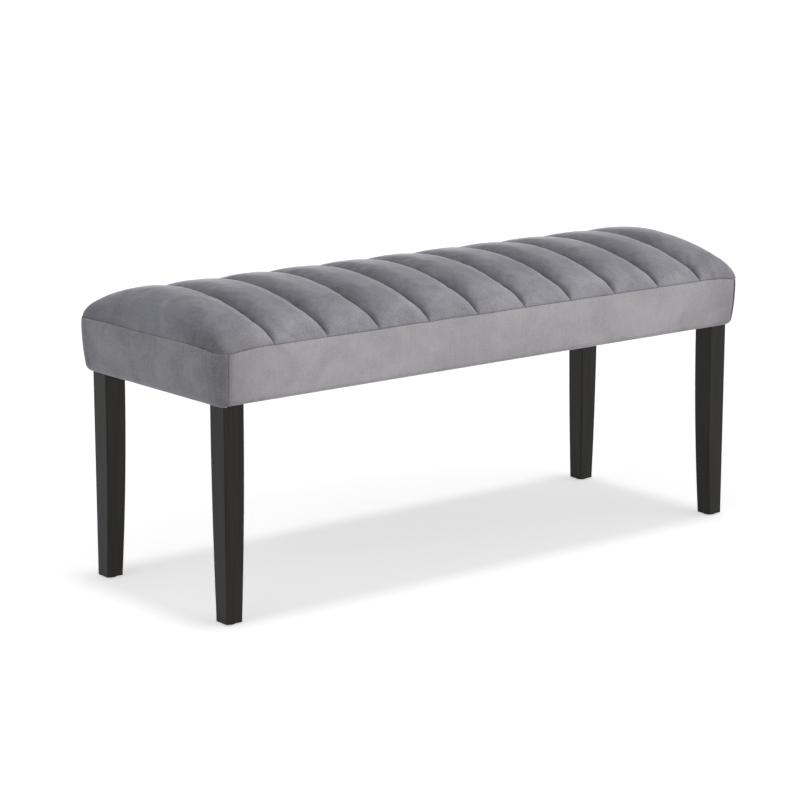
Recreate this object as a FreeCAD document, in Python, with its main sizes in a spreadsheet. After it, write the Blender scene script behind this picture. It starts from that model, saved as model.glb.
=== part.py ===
import FreeCAD, Part

import math
import os

import Sketcher

# A dining bench: four tapered legs bolted under a screwed frame, a seat board, a crowned foam seat
# under a velvet panel sewn into channels, and velvet boxing round the sides.
# The origin is on the floor under the middle of the seat: +X along the bench, -Y to the front, +Z up.

Vector = FreeCAD.Vector
UP = Vector(0, 0, 1)

# The driving sizes in millimetres. Counts and shares are plain numbers.
SIZES = [
    ("seat_length", 1100, "length of the seat at its top seam"),
    ("seat_width", 394, "width of the seat at its top seam"),
    ("underside_height", 339, "floor to the underside of the seat"),
    ("crown_rise", 51, "rise of the valleys between channels over the top seam"),
    ("channel_count", 11, "channels along the seat"),
    ("channel_swell", 12, "rise of a channel over the valleys beside it"),
    ("channel_nose", 25, "stretch over which a channel rounds down to the front and back seams"),
    ("end_lip", 8, "height of the end channels over the seam at the ends of the seat"),
    ("side_draw", 5, "how far the sides draw in between the top seam and the hem"),
    ("corner_round", 14, "radius of the upright corners of the boxing"),
    ("hem_round", 10, "radius of the lower edge of the boxing"),
    ("turn_under", 42, "width of velvet turned under the frame"),
    ("velvet_thickness", 1.6, "velvet with its backing"),
    ("cloth_gap", 0.3, "clearance between soft layers"),
    ("edge_foam", 6, "foam strip round the frame, at the hem"),
    ("foam_edge_height", 15.6, "seat foam at its edge, from the board to the top seam"),
    ("foam_cover", 3.4, "depth of the seat foam under the valleys"),
    ("leg_top_side", 37, "side of a leg at its top"),
    ("leg_foot_side", 29, "side of a leg at its foot"),
    ("leg_inset", 17.5, "outer face of a leg inside the top seam"),
    ("leg_edge_round", 1.8, "radius of the long edges of a leg"),
    ("glide_diameter", 22, "nylon glide under a foot"),
    ("glide_thickness", 2.5, "glide under the wood"),
    ("glide_edge", 0.8, "chamfer of the glide at the floor"),
    ("glide_stem_diameter", 6, "stem of the glide in the leg"),
    ("glide_stem_length", 12, "stem of the glide in the leg"),
    ("bolt_diameter", 8, "hanger bolt of a leg"),
    ("bolt_depth", 45, "hanger bolt in the leg"),
    ("bolt_point", 6, "pointed end of the hanger bolt"),
    ("bolt_stand", 2, "hanger bolt above its nut"),
    ("bolt_shift", 4, "bolt from the middle of the leg towards the middle of the seat"),
    ("nut_flange_diameter", 20, "tee nut on the corner block"),
    ("nut_flange_thickness", 1.5, "flange of the tee nut"),
    ("nut_barrel_diameter", 11, "barrel of the tee nut in the corner block"),
    ("nut_barrel_length", 11, "barrel of the tee nut in the corner block"),
    ("dowel_diameter", 8, "dowel that stops a leg from turning"),
    ("dowel_depth", 16, "dowel in the leg, and in the rail"),
    ("dowel_edge", 1, "chamfer of the dowel"),
    ("dowel_shift", 10, "dowel from the middle of the leg towards the corner of the seat"),
    ("rail_thickness", 18, "rails of the frame"),
    ("rail_height", 60, "rails of the frame"),
    ("rail_edge_round", 4, "outer lower edges of the frame"),
    ("cross_rail_spacing", 360, "between the middles of the two cross rails"),
    ("block_side", 70, "corner block along each rail"),
    ("block_nose", 14, "short faces of a corner block"),
    ("block_height", 40, "corner block"),
    ("board_thickness", 9, "plywood seat board"),
    ("frame_screw_diameter", 4.5, "screws through the long rails"),
    ("frame_screw_length", 50, "screws through the long rails"),
    ("frame_screw_low", 25, "lower screw of a pair, above the foot of the rail"),
    ("frame_screw_high", 45, "upper screw of a pair, above the foot of the rail"),
    ("block_screw_diameter", 4, "screws through the corner blocks"),
    ("block_screw_length", 34, "screws through the corner blocks"),
    ("block_screw_reach", 50, "block screw from the inner corner of the frame"),
    ("block_screw_seat", 20, "wood of the corner block under the head of its screw"),
    ("board_screw_diameter", 4, "screws of the seat board"),
    ("board_screw_length", 35, "screws of the seat board"),
    ("board_screw_count", 6, "screws along each long rail"),
    ("board_screw_margin", 60, "end screws from the ends of the board"),
    ("dust_cover_thickness", 0.8, "cloth under the seat"),
    ("dust_margin", 15, "dust cover inside the hem"),
    ("dust_corner", 8, "corner radius of the dust cover"),
    ("staple_crown", 10, "staple along the edge of the dust cover"),
    ("staple_wire", 0.9, "wire of a staple"),
    ("staple_leg", 8, "legs of a staple"),
    ("staple_margin", 6, "staples from the edge of the dust cover"),
    ("staple_clear", 40, "last staple of a side from the leg beside it"),
    ("long_staple_count", 11, "staples along the front and the back"),
    ("short_staple_count", 4, "staples along each end"),
    ("fit_clearance", 0.1, "round a fastener in its hole"),
    ("cut_overrun", 5, "how far a cut runs past what it cuts"),
]
HEAD_SHARE = 2.0
# Places across a channel, from one valley to the other, where its outline is set.
CHANNEL_SHARES = (-1, -0.72, -0.38, 0, 0.38, 0.72, 1)
SWELL_POWER = 2.4
# Places from the crest of an end channel out to the end of the seat.
END_SHARES = (0.4, 0.68, 0.86, 0.96, 1)
# Places along the end of the foam, from the crest of the end channel to the end of the frame.
FOAM_END_SHARES = (0, 0.35, 0.7, 1)

doc = FreeCAD.newDocument("channelled_bench")
sheet = doc.addObject("Spreadsheet::Sheet", "sizes")
for row, (alias, number, meaning) in enumerate(SIZES, start=1):
    sheet.set(f"A{row}", meaning)
    sheet.set(f"B{row}", str(number))
    sheet.setAlias(f"B{row}", alias)
doc.recompute()

# Heights from the floor up: hem, frame, board and the seam under the channels.
HEM = "(sizes.underside_height + sizes.dust_cover_thickness)"
FRAME_FOOT = f"({HEM} + sizes.velvet_thickness)"
BOARD_FOOT = f"({FRAME_FOOT} + sizes.rail_height)"
BOARD_TOP = f"({BOARD_FOOT} + sizes.board_thickness)"
SEAM = f"({BOARD_TOP} + sizes.foam_edge_height)"
BLOCK_TOP = f"({FRAME_FOOT} + sizes.block_height)"
# Half sizes in plan: the seat at its seam, the frame inside its padding, and the inside of the frame.
SEAT_X = "(sizes.seat_length / 2)"
SEAT_Y = "(sizes.seat_width / 2)"
PADDING = "(sizes.side_draw + sizes.velvet_thickness + sizes.cloth_gap + sizes.edge_foam)"
FRAME_X = f"({SEAT_X} - {PADDING})"
FRAME_Y = f"({SEAT_Y} - {PADDING})"
INNER_X = f"({FRAME_X} - sizes.rail_thickness)"
INNER_Y = f"({FRAME_Y} - sizes.rail_thickness)"
CROSS_X = "(sizes.cross_rail_spacing / 2)"
# Half sizes in plan of the legs, of what fixes them, and of the dust cover.
LEG_X = f"({SEAT_X} - sizes.leg_inset)"
LEG_Y = f"({SEAT_Y} - sizes.leg_inset)"
BOLT_IN = "(sizes.leg_top_side / 2 + sizes.bolt_shift)"
DOWEL_IN = "(sizes.leg_top_side / 2 - sizes.dowel_shift)"
GLIDE_IN = "(sizes.leg_foot_side / 2)"
DUST_X = f"({SEAT_X} - sizes.side_draw - sizes.dust_margin)"
DUST_Y = f"({SEAT_Y} - sizes.side_draw - sizes.dust_margin)"
STAPLE_X = f"({DUST_X} - sizes.staple_margin)"
STAPLE_Y = f"({DUST_Y} - sizes.staple_margin)"
NO_GROWTH = "0"
GROWTH = "sizes.fit_clearance"

# The corners of the bench, each a quarter turn on from the one before.
CORNERS = [
    ("back_right", 0, 1, 1),
    ("back_left", 90, -1, 1),
    ("front_left", 180, -1, -1),
    ("front_right", 270, 1, -1),
]

pieces = []


def measure(expression):
    """The value of an expression at the sizes in the sheet."""
    return float(sheet.evalExpression(expression))


def bind(item, bindings):
    """Tie properties of an object to expressions."""
    for name, expression in bindings.items():
        item.setExpression(name, expression)


def place(item, x, y, z, turn=0):
    """Turn an object about Z and tie its place to three expressions."""
    item.Placement = FreeCAD.Placement(Vector(), FreeCAD.Rotation(UP, turn))
    bind(item, {"Placement.Base.x": x, "Placement.Base.y": y, "Placement.Base.z": z})


def keep(label, item):
    """Name a finished piece and put it on the list of pieces."""
    item.Label = label
    pieces.append(item)
    return item


def shaped(label, shape):
    """A piece whose solid is worked out from the sheet."""
    item = doc.addObject("Part::Feature", label)
    item.Shape = shape
    item.Placement = FreeCAD.Placement()
    return item


def new_sketch(body, name, role):
    """An empty sketch on one of a body's own origin planes."""
    sketch = body.newObject("Sketcher::SketchObject", name)
    plane = [feature for feature in body.Origin.OriginFeatures if feature.Role == role][0]
    sketch.AttachmentSupport = [(plane, "")]
    sketch.MapMode = "FlatFace"
    return sketch


def close_outline(sketch, corners):
    """Join the edges of an outline end to end and tie each corner to its two expressions."""
    for edge, (across, along) in enumerate(corners):
        following = (edge + 1) % len(corners)
        sketch.addConstraint(Sketcher.Constraint("Coincident", edge, 2, following, 1))
        for kind, expression in (("DistanceX", across), ("DistanceY", along)):
            rule = Sketcher.Constraint(kind, -1, 1, edge, 1, measure(expression))
            sketch.setExpression(f"Constraints[{sketch.addConstraint(rule)}]", expression)


def polygon(body, name, role, corners):
    """A closed outline of straight lines through corners given as pairs of expressions."""
    sketch = new_sketch(body, name, role)
    points = [Vector(measure(across), measure(along), 0) for across, along in corners]
    for start, end in zip(points, points[1:] + points[:1]):
        sketch.addGeometry(Part.LineSegment(start, end), False)
    close_outline(sketch, corners)
    return sketch


def tapered_outline(body, name, role, corners):
    """A closed outline whose first edge curves away from upright, and whose others are straight."""
    sketch = new_sketch(body, name, role)
    points = [Vector(measure(across), measure(along), 0) for across, along in corners]
    taper = points[1].x - points[0].x
    drop = points[0].y - points[1].y
    radius = (drop ** 2 + taper ** 2) / (2 * taper)
    circle = Part.Circle(points[0] + Vector(radius, 0, 0), UP, radius)
    sketch.addGeometry(Part.ArcOfCircle(circle, math.pi, math.pi + math.asin(drop / radius)), False)
    for start, end in zip(points[1:], points[2:] + points[:1]):
        sketch.addGeometry(Part.LineSegment(start, end), False)
    sketch.addConstraint(Sketcher.Constraint("Horizontal", 0, 3, 0, 1))
    close_outline(sketch, corners)
    return sketch


def padded_up(body, name, sketch, length):
    """A pad of a sketch, as long as an expression."""
    pad = body.newObject("PartDesign::Pad", name)
    pad.Profile = sketch
    bind(pad, {"Length": length})
    return pad


def rounded(body, name, feature, wanted, radius):
    """A fillet on the edges of a feature that a test picks."""
    doc.recompute()
    names = [f"Edge{number}" for number, edge in enumerate(feature.Shape.Edges, start=1) if wanted(edge)]
    fillet = body.newObject("PartDesign::Fillet", name)
    fillet.Base = (feature, names)
    bind(fillet, {"Radius": radius})
    return fillet


def turned(name, outline):
    """A body turned about Z from an outline of radii and heights."""
    body = doc.addObject("PartDesign::Body", name)
    sketch = polygon(body, f"{name}_outline", "XZ_Plane", outline)
    turn = body.newObject("PartDesign::Revolution", f"{name}_turn")
    turn.Profile = sketch
    turn.ReferenceAxis = (sketch, ["V_Axis"])
    turn.Angle = 360
    return body


def plank(name, low, high, height):
    """A body with a rectangular outline between two corners in plan, and a height."""
    body = doc.addObject("PartDesign::Body", name)
    corners = [low, (high[0], low[1]), high, (low[0], high[1])]
    sketch = polygon(body, f"{name}_outline", "XY_Plane", corners)
    padded_up(body, f"{name}_pad", sketch, height)
    return body


def repeated(label, body, places):
    """Copies of one body as separate solids, each at a point with its -Z along a direction."""
    doc.recompute()
    copies = []
    for point, direction in places:
        copy = body.Shape.copy()
        copy.Placement = FreeCAD.Placement(point, FreeCAD.Rotation(-UP, direction))
        copies.append(copy)
    return shaped(label, Part.makeCompound(copies))


def bored(name, base, holes):
    """A piece with groups of holes cut from it, one group after another."""
    for number, tool in enumerate(holes, start=1):
        cut = doc.addObject("Part::Cut", f"{name}_cut_{number}")
        cut.Base = base
        cut.Tool = tool
        base = cut
    return base


def screw(name, kind, growth, access=None):
    """A countersunk screw with its head flush at zero, or the hole for it with a way in above."""
    shank = f"(sizes.{kind}_screw_diameter / 2 + {growth})"
    head = f"(sizes.{kind}_screw_diameter / 2 * {HEAD_SHARE} + {growth})"
    end = f"(sizes.{kind}_screw_length + {growth})"
    outline = [("0", access), (head, access)] if access else [("0", "0")]
    outline += [
        (head, "0"),
        (shank, f"{shank} - {head}"),
        (shank, f"{shank} * 2 - {end}"),
        ("0", f"-{end}"),
    ]
    return turned(name, outline)


def screws_and_holes(kind, places, access="sizes.cut_overrun"):
    """Keep the group of screws of one kind as a piece, and give the group of holes for them."""
    keep(f"{kind}_screws", repeated(f"{kind}_screws", screw(f"{kind}_screw", kind, NO_GROWTH), places))
    hole = screw(f"{kind}_screw_hole", kind, GROWTH, access)
    return repeated(f"{kind}_screw_holes", hole, places)


def evenly(first, last, count):
    """Evenly spaced places from the first to the last."""
    return [first + (last - first) * step / (count - 1) for step in range(count)]


# The leg fixings, at the same places under every corner.
def corner_places(inset, z):
    """Points inside the outer corner of each leg, all pointing down."""
    x = measure(LEG_X) - measure(inset)
    y = measure(LEG_Y) - measure(inset)
    return [(Vector(side_x * x, side_y * y, measure(z)), -UP) for _, _, side_x, side_y in CORNERS]


CLOTHS = "(sizes.dust_cover_thickness + sizes.velvet_thickness)"


def hanger_bolt(name, growth):
    """A leg bolt with a point in the leg and a plain end through its nut, about the top of the leg."""
    radius = f"(sizes.bolt_diameter / 2 + {growth})"
    top = f"({CLOTHS} + sizes.block_height + sizes.nut_flange_thickness + sizes.bolt_stand + {growth})"
    foot = f"(-sizes.bolt_depth - {growth})"
    return turned(name, [("0", foot), (radius, f"{foot} + sizes.bolt_point"), (radius, top), ("0", top)])


def leg_dowel(name, growth):
    """A chamfered dowel half in the leg and half in the rail, about the top of the leg."""
    radius = f"(sizes.dowel_diameter / 2 + {growth})"
    top = f"({CLOTHS} + sizes.dowel_depth + {growth})"
    foot = f"(-sizes.dowel_depth - {growth})"
    tip = f"({radius} - sizes.dowel_edge)"
    return turned(name, [
        ("0", foot),
        (tip, foot),
        (radius, f"{foot} + sizes.dowel_edge"),
        (radius, f"{top} - sizes.dowel_edge"),
        (tip, top),
        ("0", top),
    ])


def glide():
    """A nylon glide with its stem, standing on the floor."""
    radius = "(sizes.glide_diameter / 2)"
    stem = "(sizes.glide_stem_diameter / 2)"
    top = "(sizes.glide_thickness + sizes.glide_stem_length)"
    return [
        ("0", "0"),
        (f"{radius} - sizes.glide_edge", "0"),
        (radius, "sizes.glide_edge"),
        (radius, "sizes.glide_thickness"),
        (stem, "sizes.glide_thickness"),
        (stem, top),
        ("0", top),
    ]


def glide_hole():
    """The hole for a glide's stem, from below the foot of the leg."""
    radius = f"(sizes.glide_stem_diameter / 2 + {GROWTH})"
    foot = "(sizes.glide_thickness - sizes.cut_overrun)"
    top = f"(sizes.glide_thickness + sizes.glide_stem_length + {GROWTH})"
    return turned("glide_hole", [("0", foot), (radius, foot), (radius, top), ("0", top)])


def tee_nut():
    """A flanged nut on the top of a corner block, with its barrel in the block."""
    bore = f"(sizes.bolt_diameter / 2 + {GROWTH})"
    barrel = "(sizes.nut_barrel_diameter / 2)"
    flange = "(sizes.nut_flange_diameter / 2)"
    return turned("tee_nut", [
        (bore, "-sizes.nut_barrel_length"),
        (barrel, "-sizes.nut_barrel_length"),
        (barrel, "0"),
        (flange, "0"),
        (flange, "sizes.nut_flange_thickness"),
        (bore, "sizes.nut_flange_thickness"),
    ])


def nut_hole():
    """The hole for the barrel of a tee nut."""
    radius = f"(sizes.nut_barrel_diameter / 2 + {GROWTH})"
    foot = f"(-sizes.nut_barrel_length - {GROWTH})"
    top = "sizes.cut_overrun"
    return turned("nut_hole", [("0", foot), (radius, foot), (radius, top), ("0", top)])


bolt_places = corner_places(BOLT_IN, "sizes.underside_height")
dowel_places = corner_places(DOWEL_IN, "sizes.underside_height")
nut_places = corner_places(BOLT_IN, BLOCK_TOP)
glide_places = corner_places(GLIDE_IN, "0")
keep("hanger_bolts", repeated("hanger_bolts", hanger_bolt("hanger_bolt", NO_GROWTH), bolt_places))
keep("leg_dowels", repeated("leg_dowels", leg_dowel("leg_dowel", NO_GROWTH), dowel_places))
keep("tee_nuts", repeated("tee_nuts", tee_nut(), nut_places))
bolt_holes = repeated("bolt_holes", hanger_bolt("bolt_hole", GROWTH), bolt_places)
dowel_holes = repeated("dowel_holes", leg_dowel("dowel_hole", GROWTH), dowel_places)
nut_holes = repeated("nut_holes", nut_hole(), nut_places)
glide_holes = repeated("glide_holes", glide_hole(), glide_places)


# The legs and their glides.
def leg(corner, turn, side_x, side_y):
    """A leg with upright outer faces and two inner faces that curve in to the foot."""
    name = f"leg_{corner}"
    body = doc.addObject("PartDesign::Body", f"{name}_blank")
    top = ("-sizes.leg_top_side", "sizes.underside_height")
    foot = ("-sizes.leg_foot_side", "sizes.glide_thickness")
    beyond = "(-sizes.leg_top_side - sizes.cut_overrun)"
    outline = [top, foot, ("0", foot[1]), ("0", top[1])]
    profile = tapered_outline(body, f"{name}_profile", "XZ_Plane", outline)
    pad = padded_up(body, f"{name}_pad", profile, "sizes.leg_top_side")
    doc.recompute()
    waste = [top, foot, (beyond, foot[1]), (beyond, top[1])]
    taper = body.newObject("PartDesign::Pocket", f"{name}_taper")
    taper.Profile = tapered_outline(body, f"{name}_waste", "YZ_Plane", waste)
    taper.Type = "ThroughAll"
    doc.recompute()
    if taper.Shape.Volume >= pad.Shape.Volume:
        raise RuntimeError(f"{name}: the second taper cuts nothing")
    tall = measure("sizes.underside_height / 2")
    rounded(body, f"{name}_edges", taper, lambda edge: edge.BoundBox.ZLength > tall, "sizes.leg_edge_round")
    place(body, f"{side_x} * {LEG_X}", f"{side_y} * {LEG_Y}", "0", turn)
    keep(name, bored(name, body, [bolt_holes, dowel_holes, glide_holes]))


def foot_glide(corner, side_x, side_y):
    """The glide under one leg."""
    body = turned(f"glide_{corner}", glide())
    place(body, f"{side_x} * ({LEG_X} - {GLIDE_IN})", f"{side_y} * ({LEG_Y} - {GLIDE_IN})", "0")
    keep(f"glide_{corner}", body)


for corner, turn, side_x, side_y in CORNERS:
    leg(corner, turn, side_x, side_y)
    foot_glide(corner, side_x, side_y)


# The dust cover's staples, driven up through the cloths into the rails.
def staple(name, growth):
    """A staple with its crown along X under the dust cover and two legs up."""
    body = doc.addObject("PartDesign::Body", name)
    out = f"(sizes.staple_crown / 2 + {growth})"
    inside = f"(sizes.staple_crown / 2 - sizes.staple_wire - {growth})"
    low = f"(-sizes.staple_wire - {growth})"
    top = f"(sizes.staple_leg + {growth})"
    corners = [(f"-{out}", low), (out, low), (out, top), (inside, top)]
    corners += [(inside, "0"), (f"-{inside}", "0"), (f"-{inside}", top), (f"-{out}", top)]
    pad = padded_up(
        body,
        f"{name}_pad",
        polygon(body, f"{name}_outline", "XZ_Plane", corners),
        f"sizes.staple_wire + {growth} * 2",
    )
    pad.Midplane = True
    return body


def staple_group(label, body):
    """Staples along the four edges of the dust cover, with their crowns along the edges."""
    doc.recompute()
    reach_x = measure(f"{LEG_X} - sizes.leg_top_side - sizes.staple_clear")
    reach_y = measure(f"{LEG_Y} - sizes.leg_top_side - sizes.staple_clear")
    z = measure("sizes.underside_height")
    spots = []
    for side in (-1, 1):
        for x in evenly(-reach_x, reach_x, int(measure("sizes.long_staple_count"))):
            spots.append((Vector(x, side * measure(STAPLE_Y), z), 0))
        for y in evenly(-reach_y, reach_y, int(measure("sizes.short_staple_count"))):
            spots.append((Vector(side * measure(STAPLE_X), y, z), 90))
    copies = []
    for point, turn in spots:
        copy = body.Shape.copy()
        copy.Placement = FreeCAD.Placement(point, FreeCAD.Rotation(UP, turn))
        copies.append(copy)
    return shaped(label, Part.makeCompound(copies))


keep("staples", staple_group("staples", staple("staple", NO_GROWTH)))
staple_slots = staple_group("staple_slots", staple("staple_slot", GROWTH))


# The frame's screws: in pairs through the long rails, through the blocks, and down through the board.
def frame_screw_places():
    """Pairs of screws from the outer faces of the long rails into the ends of the other rails."""
    stations = [measure(f"{FRAME_X} - sizes.rail_thickness / 2"), measure(CROSS_X)]
    heights = [measure(f"{FRAME_FOOT} + sizes.frame_screw_{level}") for level in ("low", "high")]
    places = []
    for side in (-1, 1):
        for x in [sign * station for sign in (-1, 1) for station in stations]:
            for z in heights:
                places.append((Vector(x, side * measure(FRAME_Y), z), Vector(0, -side, 0)))
    return places


def block_screw_places():
    """Two screws in each corner block, one into each rail, with their heads inside the block."""
    inner_x = measure(INNER_X)
    inner_y = measure(INNER_Y)
    reach = measure("sizes.block_screw_reach")
    seat = measure("sizes.block_screw_seat")
    z = measure(f"{FRAME_FOOT} + sizes.block_height / 2")
    places = []
    for _, _, side_x, side_y in CORNERS:
        into_long_rail = Vector(side_x * (inner_x - reach), side_y * (inner_y - seat), z)
        into_end_rail = Vector(side_x * (inner_x - seat), side_y * (inner_y - reach), z)
        places.append((into_long_rail, Vector(0, side_y, 0)))
        places.append((into_end_rail, Vector(side_x, 0, 0)))
    return places


def board_screw_places():
    """Screws down through the seat board along the middle of each long rail."""
    reach = measure(f"{FRAME_X} - sizes.board_screw_margin")
    y = measure(f"{FRAME_Y} - sizes.rail_thickness / 2")
    stations = evenly(-reach, reach, int(measure("sizes.board_screw_count")))
    return [(Vector(x, side * y, measure(BOARD_TOP)), -UP) for side in (-1, 1) for x in stations]


frame_screw_holes = screws_and_holes("frame", frame_screw_places())
block_screw_holes = screws_and_holes("block", block_screw_places(), "sizes.block_side")
board_screw_holes = screws_and_holes("board", board_screw_places())


# The frame: two long rails, two end rails and two cross rails between them, and four corner blocks.
def outer_lower(side, along):
    """A test for the lower edges of a rail that lie on an outer face of the frame."""
    foot = measure(FRAME_FOOT)
    reach = {"x": measure(FRAME_X), "y": measure(FRAME_Y)}
    slack = measure("sizes.fit_clearance")

    def wanted(edge):
        box = edge.BoundBox
        if box.ZLength > slack or abs(box.ZMin) > slack:
            return False
        on_side = {"x": abs(box.Center.x) > reach["x"] - slack, "y": side * box.Center.y > reach["y"] - slack}
        return any(on_side[axis] for axis in along)

    return wanted


def long_rail(name, side):
    """The front or back rail, over the whole length of the frame, with its outer lower edges eased."""
    rear = f"{side} * {FRAME_Y}"
    fore = f"{side} * {INNER_Y}"
    low, high = (rear, fore) if side < 0 else (fore, rear)
    body = plank(f"{name}_blank", (f"-{FRAME_X}", low), (FRAME_X, high), "sizes.rail_height")
    rounded(body, f"{name}_edges", body.Tip, outer_lower(side, ("x", "y")), "sizes.rail_edge_round")
    place(body, "0", "0", FRAME_FOOT)
    holes = [dowel_holes, frame_screw_holes, board_screw_holes, block_screw_holes, staple_slots]
    keep(name, bored(name, body, holes))


def end_rail(name, side):
    """A rail across one end, between the long rails, with its outer lower edge eased."""
    outer = f"{side} * {FRAME_X}"
    inner = f"{side} * {INNER_X}"
    low, high = (outer, inner) if side < 0 else (inner, outer)
    body = plank(f"{name}_blank", (low, f"-{INNER_Y}"), (high, INNER_Y), "sizes.rail_height")
    rounded(body, f"{name}_edges", body.Tip, outer_lower(1, ("x",)), "sizes.rail_edge_round")
    place(body, "0", "0", FRAME_FOOT)
    keep(name, bored(name, body, [frame_screw_holes, block_screw_holes, staple_slots]))


def cross_rail(name, side):
    """A rail across the middle part of the frame, between the long rails."""
    low = f"{side} * {CROSS_X} - sizes.rail_thickness / 2"
    high = f"{side} * {CROSS_X} + sizes.rail_thickness / 2"
    body = plank(f"{name}_blank", (low, f"-{INNER_Y}"), (high, INNER_Y), "sizes.rail_height")
    place(body, "0", "0", FRAME_FOOT)
    keep(name, bored(name, body, [frame_screw_holes]))


def corner_block(corner, turn, side_x, side_y):
    """A five-sided block in an inner corner of the frame, which carries a leg's bolt."""
    name = f"corner_block_{corner}"
    body = doc.addObject("PartDesign::Body", f"{name}_blank")
    side = "-sizes.block_side"
    nose = "-sizes.block_nose"
    corners = [("0", "0"), (side, "0"), (side, nose), (nose, side), ("0", side)]
    outline = polygon(body, f"{name}_outline", "XY_Plane", corners)
    padded_up(body, f"{name}_pad", outline, "sizes.block_height")
    place(body, f"{side_x} * {INNER_X}", f"{side_y} * {INNER_Y}", FRAME_FOOT, turn)
    keep(name, bored(name, body, [bolt_holes, nut_holes, block_screw_holes]))


long_rail("front_rail", -1)
long_rail("back_rail", 1)
for name, side in (("left", -1), ("right", 1)):
    end_rail(f"{name}_end_rail", side)
    cross_rail(f"{name}_cross_rail", side)
for corner in CORNERS:
    corner_block(*corner)


# The seat board on the frame, and the dust cover under it.
board = plank("seat_board_blank", (f"-{FRAME_X}", f"-{FRAME_Y}"), (FRAME_X, FRAME_Y), "sizes.board_thickness")
place(board, "0", "0", BOARD_FOOT)
keep("seat_board", bored("seat_board", board, [board_screw_holes]))

dust = plank("dust_cover_blank", (f"-{DUST_X}", f"-{DUST_Y}"), (DUST_X, DUST_Y), "sizes.dust_cover_thickness")
upright = measure("sizes.dust_cover_thickness / 2")
rounded(dust, "dust_corners", dust.Tip, lambda edge: edge.BoundBox.ZLength > upright, "sizes.dust_corner")
place(dust, "0", "0", "sizes.underside_height")
keep("dust_cover", bored("dust_cover", dust, [bolt_holes, dowel_holes, staple_slots]))


# The soft block round the frame: it draws in from the top seam to a rounded hem.
def plan_outline(z, inset):
    """A rectangle with round corners at one height, some way inside the outer face of the boxing."""
    draw = measure("sizes.side_draw") * (measure(SEAM) - z) / measure(f"{SEAM} - {HEM}")
    half_x = measure(SEAT_X) - draw - inset
    half_y = measure(SEAT_Y) - draw - inset
    radius = measure("sizes.corner_round") - inset
    bevel = radius * (1 - math.sqrt(0.5))
    edges = []
    previous = Vector(half_x, radius - half_y, z)
    for side_x, side_y in ((1, 1), (-1, 1), (-1, -1), (1, -1)):
        on_end = Vector(side_x * half_x, side_y * (half_y - radius), z)
        on_side = Vector(side_x * (half_x - radius), side_y * half_y, z)
        middle = Vector(side_x * (half_x - bevel), side_y * (half_y - bevel), z)
        start, end = (on_end, on_side) if side_x * side_y > 0 else (on_side, on_end)
        edges.append(Part.LineSegment(previous, start).toShape())
        edges.append(Part.Arc(start, middle, end).toShape())
        previous = end
    return Part.Wire(edges)


def soft_block(inset, top):
    """The block inside the boxing, from its rounded hem to a given height."""
    foot = measure(HEM) + inset
    block = Part.makeLoft([plan_outline(foot, inset), plan_outline(top, inset)], True, True)
    slack = measure("sizes.fit_clearance")
    hem = [edge for edge in block.Edges if edge.BoundBox.ZMax < foot + slack]
    return block.makeFillet(measure("sizes.hem_round") - inset, hem)


def upright_box(low, high):
    """A box between two corners."""
    size = high - low
    return Part.makeBox(size.x, size.y, size.z, low)


def boxing_panels():
    """Four velvet panels: long ones between the upright seams, and end ones that wrap the corners."""
    velvet = measure("sizes.velvet_thickness")
    over = measure("sizes.cut_overrun")
    seam = measure(SEAM)
    hem = measure(HEM)
    half_x = measure(SEAT_X)
    half_y = measure(SEAT_Y)
    window_x = measure(f"{SEAT_X} - sizes.side_draw - sizes.turn_under")
    window_y = measure(f"{SEAT_Y} - sizes.side_draw - sizes.turn_under")
    seam_x = measure(f"{SEAT_X} - sizes.corner_round")
    shell = soft_block(0, seam).cut(soft_block(velvet, seam + over))
    window = upright_box(Vector(-window_x, -window_y, hem - over), Vector(window_x, window_y, seam))
    shell = shell.cut(window)
    low = hem - over
    high = seam + over
    front_zone = upright_box(Vector(-seam_x, -half_y - over, low), Vector(seam_x, -window_y, high))
    back_zone = upright_box(Vector(-seam_x, window_y, low), Vector(seam_x, half_y + over, high))
    ends = shell.cut([front_zone, back_zone]).Solids
    left, right = sorted(ends, key=lambda solid: solid.CenterOfMass.x)
    through = [bolt_holes, dowel_holes, staple_slots]
    for name, solid, holes in (
        ("front_boxing", shell.common(front_zone), through),
        ("back_boxing", shell.common(back_zone), through),
        ("left_end_boxing", left, [staple_slots]),
        ("right_end_boxing", right, [staple_slots]),
    ):
        keep(name, bored(name, shaped(f"{name}_blank", solid), holes))


def edge_foams():
    """Four foam strips between the frame and the boxing, from the foot of the frame to the top seam."""
    gap = measure("sizes.cloth_gap")
    over = measure("sizes.cut_overrun")
    foot = measure(FRAME_FOOT)
    top = measure(SEAM) - gap
    frame_x = measure(FRAME_X)
    frame_y = measure(FRAME_Y)
    seat_x = measure(SEAT_X)
    seat_y = measure(SEAT_Y)
    ring = soft_block(measure("sizes.velvet_thickness") + gap, top)
    core = upright_box(Vector(-frame_x, -frame_y, foot - over), Vector(frame_x, frame_y, top + over))
    ring = ring.cut(core)
    zones = {
        "front": (Vector(-seat_x, -seat_y, foot), Vector(seat_x, -frame_y, top)),
        "back": (Vector(-seat_x, frame_y, foot), Vector(seat_x, seat_y, top)),
        "left": (Vector(-seat_x, -frame_y, foot), Vector(-frame_x, frame_y, top)),
        "right": (Vector(frame_x, -frame_y, foot), Vector(seat_x, frame_y, top)),
    }
    for side, (low, high) in zones.items():
        name = f"{side}_edge_foam"
        keep(name, shaped(name, ring.common(upright_box(low, high)).Solids[0]))


boxing_panels()
edge_foams()


# The crowned seat: foam under channels of fibre, all under one velvet panel.
def crown():
    """The centre height over the seam and the radius of the arc that the valleys follow."""
    rise = measure("sizes.crown_rise")
    radius = (measure(SEAT_Y) ** 2 + rise ** 2) / (2 * rise)
    return rise - radius, radius


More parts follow.
